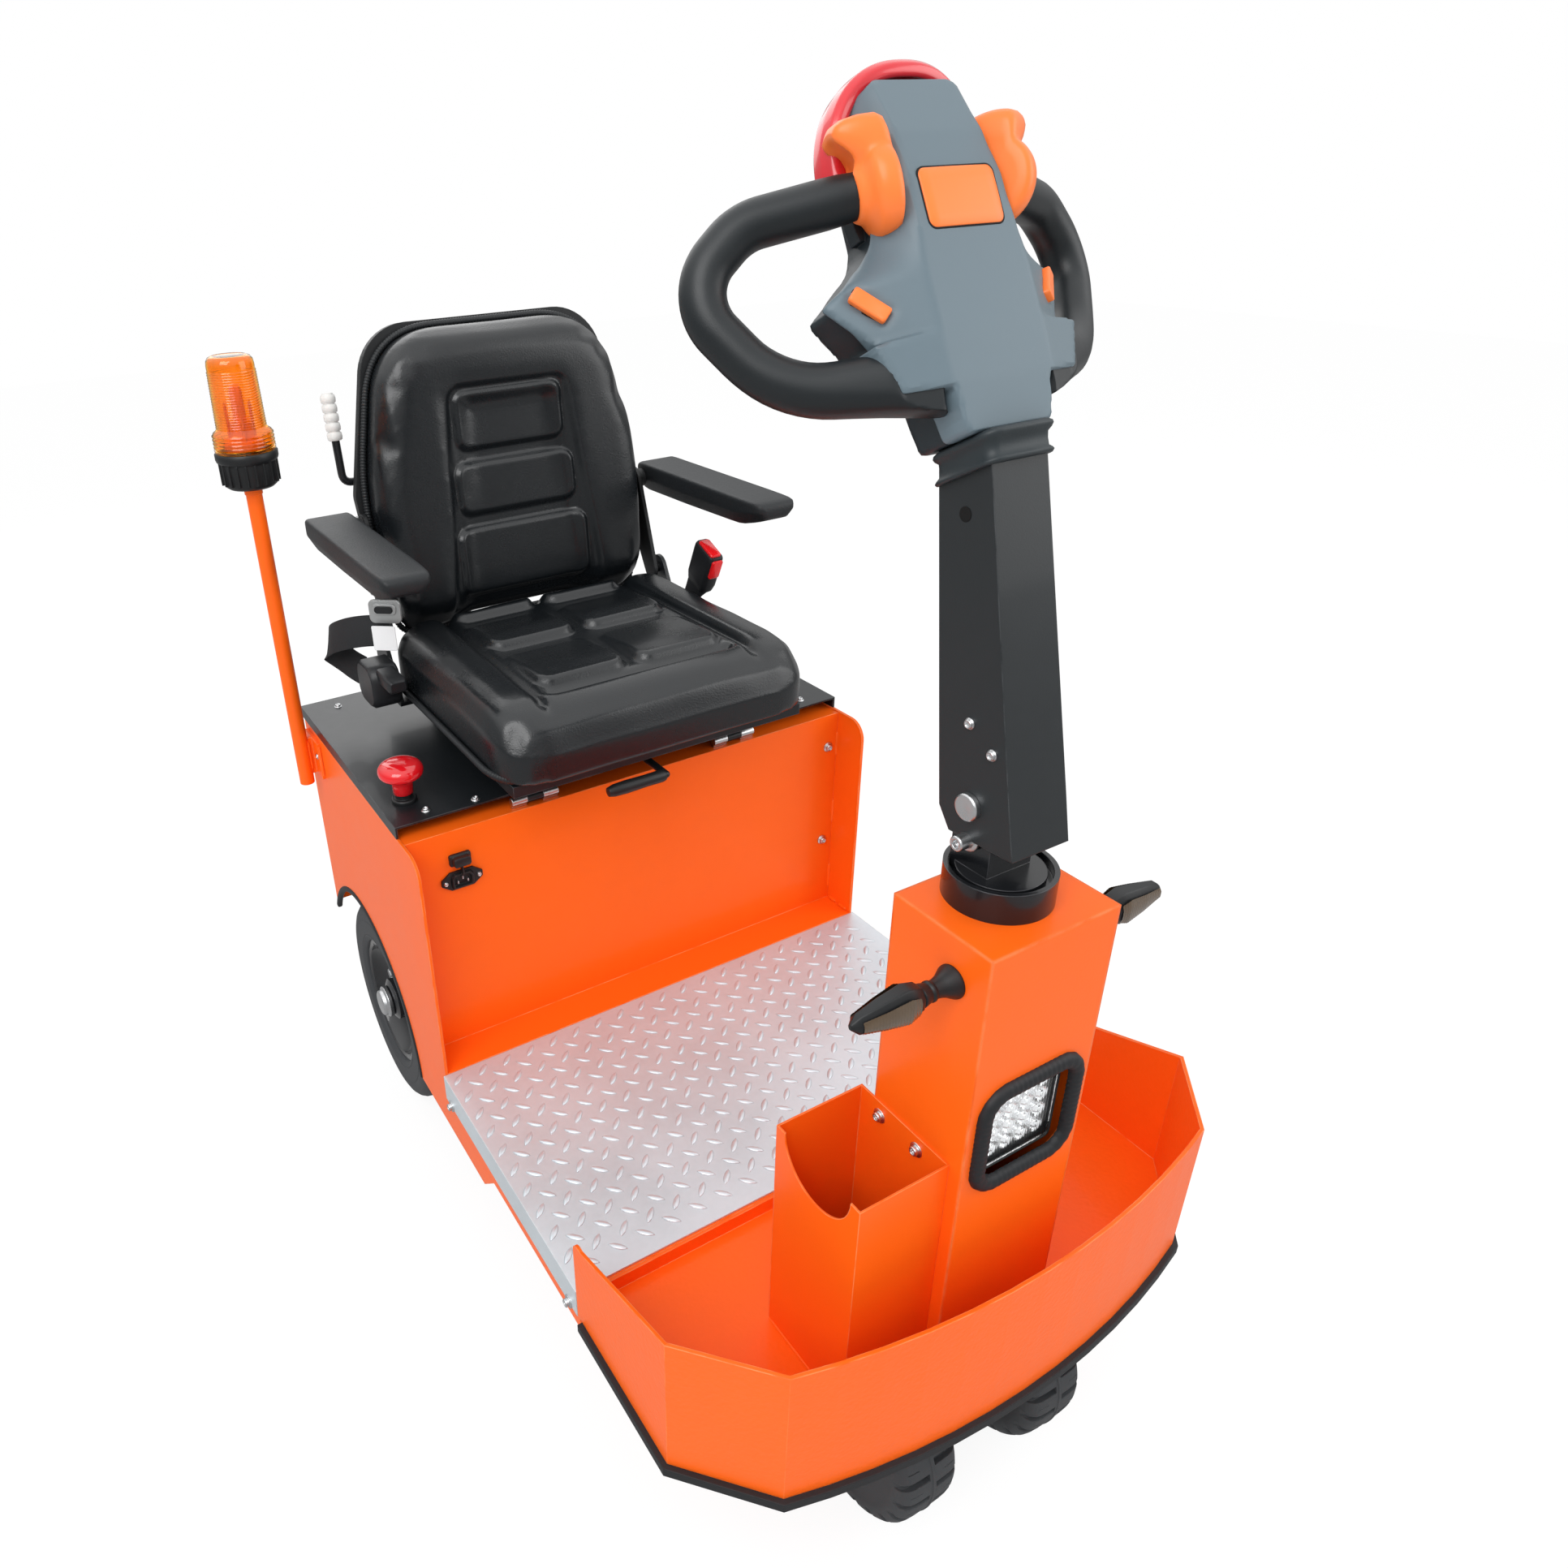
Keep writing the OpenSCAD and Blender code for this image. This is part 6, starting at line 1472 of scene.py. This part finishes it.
dome = turned([(0.0378, 0.0)] + outer + inner, POLE_TOP + (0, 0, 0.0495), (0, 0, 1), 64)
dome_piece = add_piece("beacon_dome", *dome, "chassis", "amber_lens", amber, crisp=50)
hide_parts("beacon_lens")
LAMP_FOOT = [(0, 0), (0.0270, 0), (0.0270, 0.0100), (0.0160, 0.0150), (0.0150, 0.0360), (0, 0.0360)]
BULB = [(0, 0), (0.0075, 0), (0.0085, 0.004), (0.0085, 0.040), (0.0060, 0.046), (0, 0.047)]
lamp_parts = [turned(LAMP_FOOT, POLE_TOP + (0, 0, 0.050), (0, 0, 1), 32),
    turned(BULB, POLE_TOP + (0, 0, 0.0855), (0, 0, 1), 24)]
for a in np.arange(3) * tau / 3 + 0.4:
    lamp_parts.append(turned([(0, 0), (0.0022, 0), (0.0022, 0.046), (0, 0.046)],
        POLE_TOP + (0.0190 * np.cos(a), 0.0190 * np.sin(a), 0.062), (0, 0, 1), 10))
lamp_orange = finish("beacon_lamp_orange", (1.0, 0.50, 0.06), 0.30, tone=0.10, tone_scale=40)
add_piece("beacon_lamp", *joined(lamp_parts), "chassis", "amber_lens", lamp_orange, crisp=45)
clip = rounded_block(
    ((0.058, 0.056, 0.006, 0.0), (0.058, 0.056, 0.006, 0.0030)),
    lambda o, d: place(xyz(-0.3525 - d, POLE_Y + o[:, 0] - 0.004, 0.570 + o[:, 1])))
pole_cap = turned([(0.0111, 0.0), (0.0122, 0.0), (0.0122, 0.010), (0.0111, 0.011)],
    POLE_TOP - (0, 0, 0.011), (0, 0, 1), 32)
add_piece("pole_clip", *joined([clip, pole_cap]), "chassis", "orange_paint", orange_paint, bevel=0.0008)

# ---------------------------------------------------------------- front wheels
# Two small solid rubber tyres: broad lugs with a short sipe in each, parted by deep slots
# that are staggered about a fine centre line, on black pressed rims with a centre boss.
tyre_rubber = finish("tyre_rubber", (0.040, 0.043, 0.047), 0.58, tone=0.28, tone_scale=12, pebble=0.00012,
    pebble_scale=700, rub_and_highlight=0.35, rub_and_highlight_colour=(0.07, 0.07, 0.072), rough_swing=0.08)
rim_black = finish("rim_black_gloss", (0.014, 0.015, 0.017), 0.22, coat=0.5, tone=0.15, tone_scale=12,
    rub_and_highlight=0.4, rub_and_highlight_colour=(0.10, 0.10, 0.11))
axle_steel = finish("turned_axle_steel", (0.56, 0.57, 0.58), 0.30, metallic=1.0, tone=0.14, tone_scale=50)


def lug_tyre(centre, outer, rim, half, depth, count):
    """A solid tyre as one closed skin: the radius of a lug's profile across the tread, lowered to the
    slot's profile where the angle lies in a slot, which are staggered between the two halves, and by
    3 mm in a short sipe in the middle of each lug."""
    marks = np.array([0.0, 0.005, 0.13, 0.136, 0.164, 0.17, 0.225, 0.295, 0.30, 0.40, 0.5, 0.505, 0.57,
        0.63, 0.636, 0.664, 0.67, 0.73, 0.795, 0.80, 0.90])
    share = np.concatenate([marks + k for k in range(count)])
    lug = [(0.0, 0.0), (0.0010, 0.0), (0.0016, 0.0009), (0.0040, 0.0010), (0.0043, 0.0010),
        (0.40 * half, 0.0012), (0.41 * half, 0.0012), (0.62 * half, 0.0018), (0.74 * half, 0.0028),
        (0.75 * half, 0.0029), (0.86 * half, 0.0052), (0.95 * half, 0.0090), (half, 0.0150)]
    slot = [0.0, 0.0, 0.0009, 0.0010, depth, depth, depth, depth + 0.0004, depth + 0.0008, depth + 0.0009,
        depth + 0.0020, depth + 0.0055, depth + 0.0090]
    walls = [(half, outer - 0.0240), (half - 0.0012, outer - 0.0260), (half - 0.0014, rim + 0.0110),
        (half - 0.0030, rim + 0.0030), (half - 0.0080, rim)]
    x, high = np.array(lug).T
    angle = share * tau / count
    skin = []
    for side in (-1, 1):
        turn = (share + (0.5 if side > 0 else 0.0)) % 1.0
        in_slot, in_sipe = (turn > 0.003) & (turn < 0.297), (turn > 0.633) & (turn < 0.667)
        radius = outer - np.where(in_slot[None, :], np.array(slot)[:, None], high[:, None])
        sipe = ((x > 0.405 * half) & (x < 0.745 * half))[:, None] & in_sipe[None, :]
        radius = radius - 0.0030 * sipe
        tread = xyz(side * x[:, None], radius * np.cos(angle), radius * np.sin(angle))
        sheet = [xyz(side * w, r * np.cos(angle), r * np.sin(angle)) for w, r in walls]
        whole = np.concatenate([tread, np.stack(sheet)])
        skin.append(whole[::-1] if side < 0 else whole[1:])
    points = np.concatenate(skin)
    return (centre + points).reshape(-1, 3), grid_faces(points.shape[0], points.shape[1], True, True)


def rim_profile(rim, half, dish, boss, bore):
    """Profile of a pressed rim: flange, bead seat, dished disc and a raised boss, on both faces."""
    face = [(bore, half + 0.001), (boss * 0.55, half + 0.001), (boss * 0.8, half - 0.001),
        (boss, half - 0.005), (boss, half - dish), (boss + 0.006, half - dish - 0.002),
        (rim * 0.70, half - dish - 0.001), (rim * 0.78, half - dish + 0.004), (rim - 0.010, half - 0.010),
        (rim - 0.0075, half - 0.002), (rim - 0.004, half), (rim + 0.002, half - 0.0005),
        (rim + 0.003, half - 0.004), (rim - 0.0005, half - 0.008)]
    return face + [(r, -h) for r, h in face[::-1]]


FRONT_Y, FRONT_R, FRONT_W, FRONT_X, FRONT_RIM, NUT_CIRCLE = -0.572, 0.109, 0.079, 0.093, 0.058, 0.040
for side, word in SIDES:
    centre = place((side * FRONT_X, FRONT_Y, FRONT_R))
    skin = lug_tyre(centre, FRONT_R, FRONT_RIM, FRONT_W / 2, 0.0085, 22)
    tyre = add_piece("front_tyre_tread_" + word, *skin, "front_wheels", "tyre_rubber", tyre_rubber,
        crisp=32)
    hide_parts("front_tyre_" + word)
    rim = turned(rim_profile(FRONT_RIM, FRONT_W / 2 - 0.006, 0.020, 0.026, 0.0128), centre, (1, 0, 0), 48)
    nuts = []
    for a in np.arange(4) * tau / 4 + 0.4:
        for face in (-1, 1):
            spot = centre + (face * (FRONT_W / 2 - 0.0275), NUT_CIRCLE * np.cos(a), NUT_CIRCLE * np.sin(a))
            nuts += screw(spot, (face, 0, 0), 0.0050, 0.0050, 0.0070)
    wheel = add_piece("front_rim_" + word, *rim, "front_wheels", "black_paint", rim_black, crisp=30)
    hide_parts("front_rims")
    add_piece("front_rim_nuts_" + word, *joined(nuts), "front_wheels", "bright_steel", screw_steel,
        crisp=40)
dress("front_axle", axle_steel)

# ---------------------------------------------------------------- rear wheels
# Larger tyres with a ribbed tread and plain sidewalls with moulded rings, on deep dished
# rims in glossy black, with a bright hub cap and five nuts.
REAR_Y, REAR_R, REAR_W, REAR_X, REAR_RIM = 0.318, 0.166, 0.090, 0.294, 0.100
groove = 0.0045
half = REAR_W / 2
HUB_NUT_CIRCLE = 0.050
HUB_NUT = [(0, 0), (0.0090, 0), (0.0090, 0.0090), (0.0070, 0.0120), (0, 0.0122)]
HUB_CAP = [(0, 0), (0.0255, 0), (0.0255, 0.0060), (0.0235, 0.0075), (0.0215, 0.0085), (0.0205, 0.0130),
    (0.0180, 0.0150), (0, 0.0160)]


def ribbed_tyre(outer, rim, half):
    """Profile of the rear tyre: bulged sidewall with two fine rings, and a tread of five ribs."""
    side = [(rim, -half + 0.010), (rim + 0.003, -half + 0.004), (rim + 0.008, -half + 0.001),
        (rim + 0.011, -half + 0.0002), (rim + 0.0125, -half + 0.0012), (rim + 0.0140, -half + 0.0002),
        (rim + 0.028, -half), (rim + 0.036, -half + 0.0002), (rim + 0.0372, -half + 0.0012),
        (rim + 0.0385, -half + 0.0006), (outer - 0.016, -half + 0.0016), (outer - 0.010, -half + 0.0042),
        (outer - 0.0045, -half + 0.0090), (outer - 0.001, -half + 0.0150)]
    tread = []
    for k in range(4):
        x = -half + 0.0235 + k * 0.0143
        tread += [(outer, x - 0.0022), (outer - groove, x - 0.0014), (outer - groove, x + 0.0014),
            (outer, x + 0.0022)]
    return side + tread + [(r, -h) for r, h in side[::-1]]


for side, word in SIDES:
    centre = place((side * REAR_X, REAR_Y, REAR_R))
    skin = turned(ribbed_tyre(REAR_R, REAR_RIM, half), centre, (1, 0, 0), 120)
    tyre = add_piece("rear_tyre_ribbed_" + word, *skin, word + "_rear_wheel", "tyre_rubber", tyre_rubber,
        crisp=32)
    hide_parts("rear_tyre_" + word)
    rim = turned(rim_profile(REAR_RIM, half - 0.006, 0.027, 0.034, 0.0177), centre, (1, 0, 0), 96)
    wheel = add_piece("rear_rim_dished_" + word, *rim, word + "_rear_wheel", "black_paint", rim_black,
        crisp=30)
    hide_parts("rear_rim_" + word)
    bits = []
    for a in np.arange(5) * tau / 5 + 0.3:
        spot = centre + (side * (half - 0.0345), HUB_NUT_CIRCLE * np.cos(a), HUB_NUT_CIRCLE * np.sin(a))
        bits.append(turned(HUB_NUT, spot, (side, 0, 0), 6))
    bits.append(turned(HUB_CAP, centre + (side * (half - 0.0045), 0, 0), (side, 0, 0), 40))
    add_piece("rear_hub_cap_" + word, *joined(bits), word + "_rear_wheel", "bright_steel", axle_steel,
        crisp=30)

# ---------------------------------------------------------------- drive, battery and hitch
# Under the box: a cast drive axle with its motor, painted black, a grey battery block,
# and a jaw hitch of black painted plates at the back.
dress("rear_axle", black_paint)
dress("tow_hitch", black_paint)
dress("battery", finish("battery_case", (0.050, 0.056, 0.064), 0.50, tone=0.12, tone_scale=8,
    pebble=0.00015, pebble_scale=500))
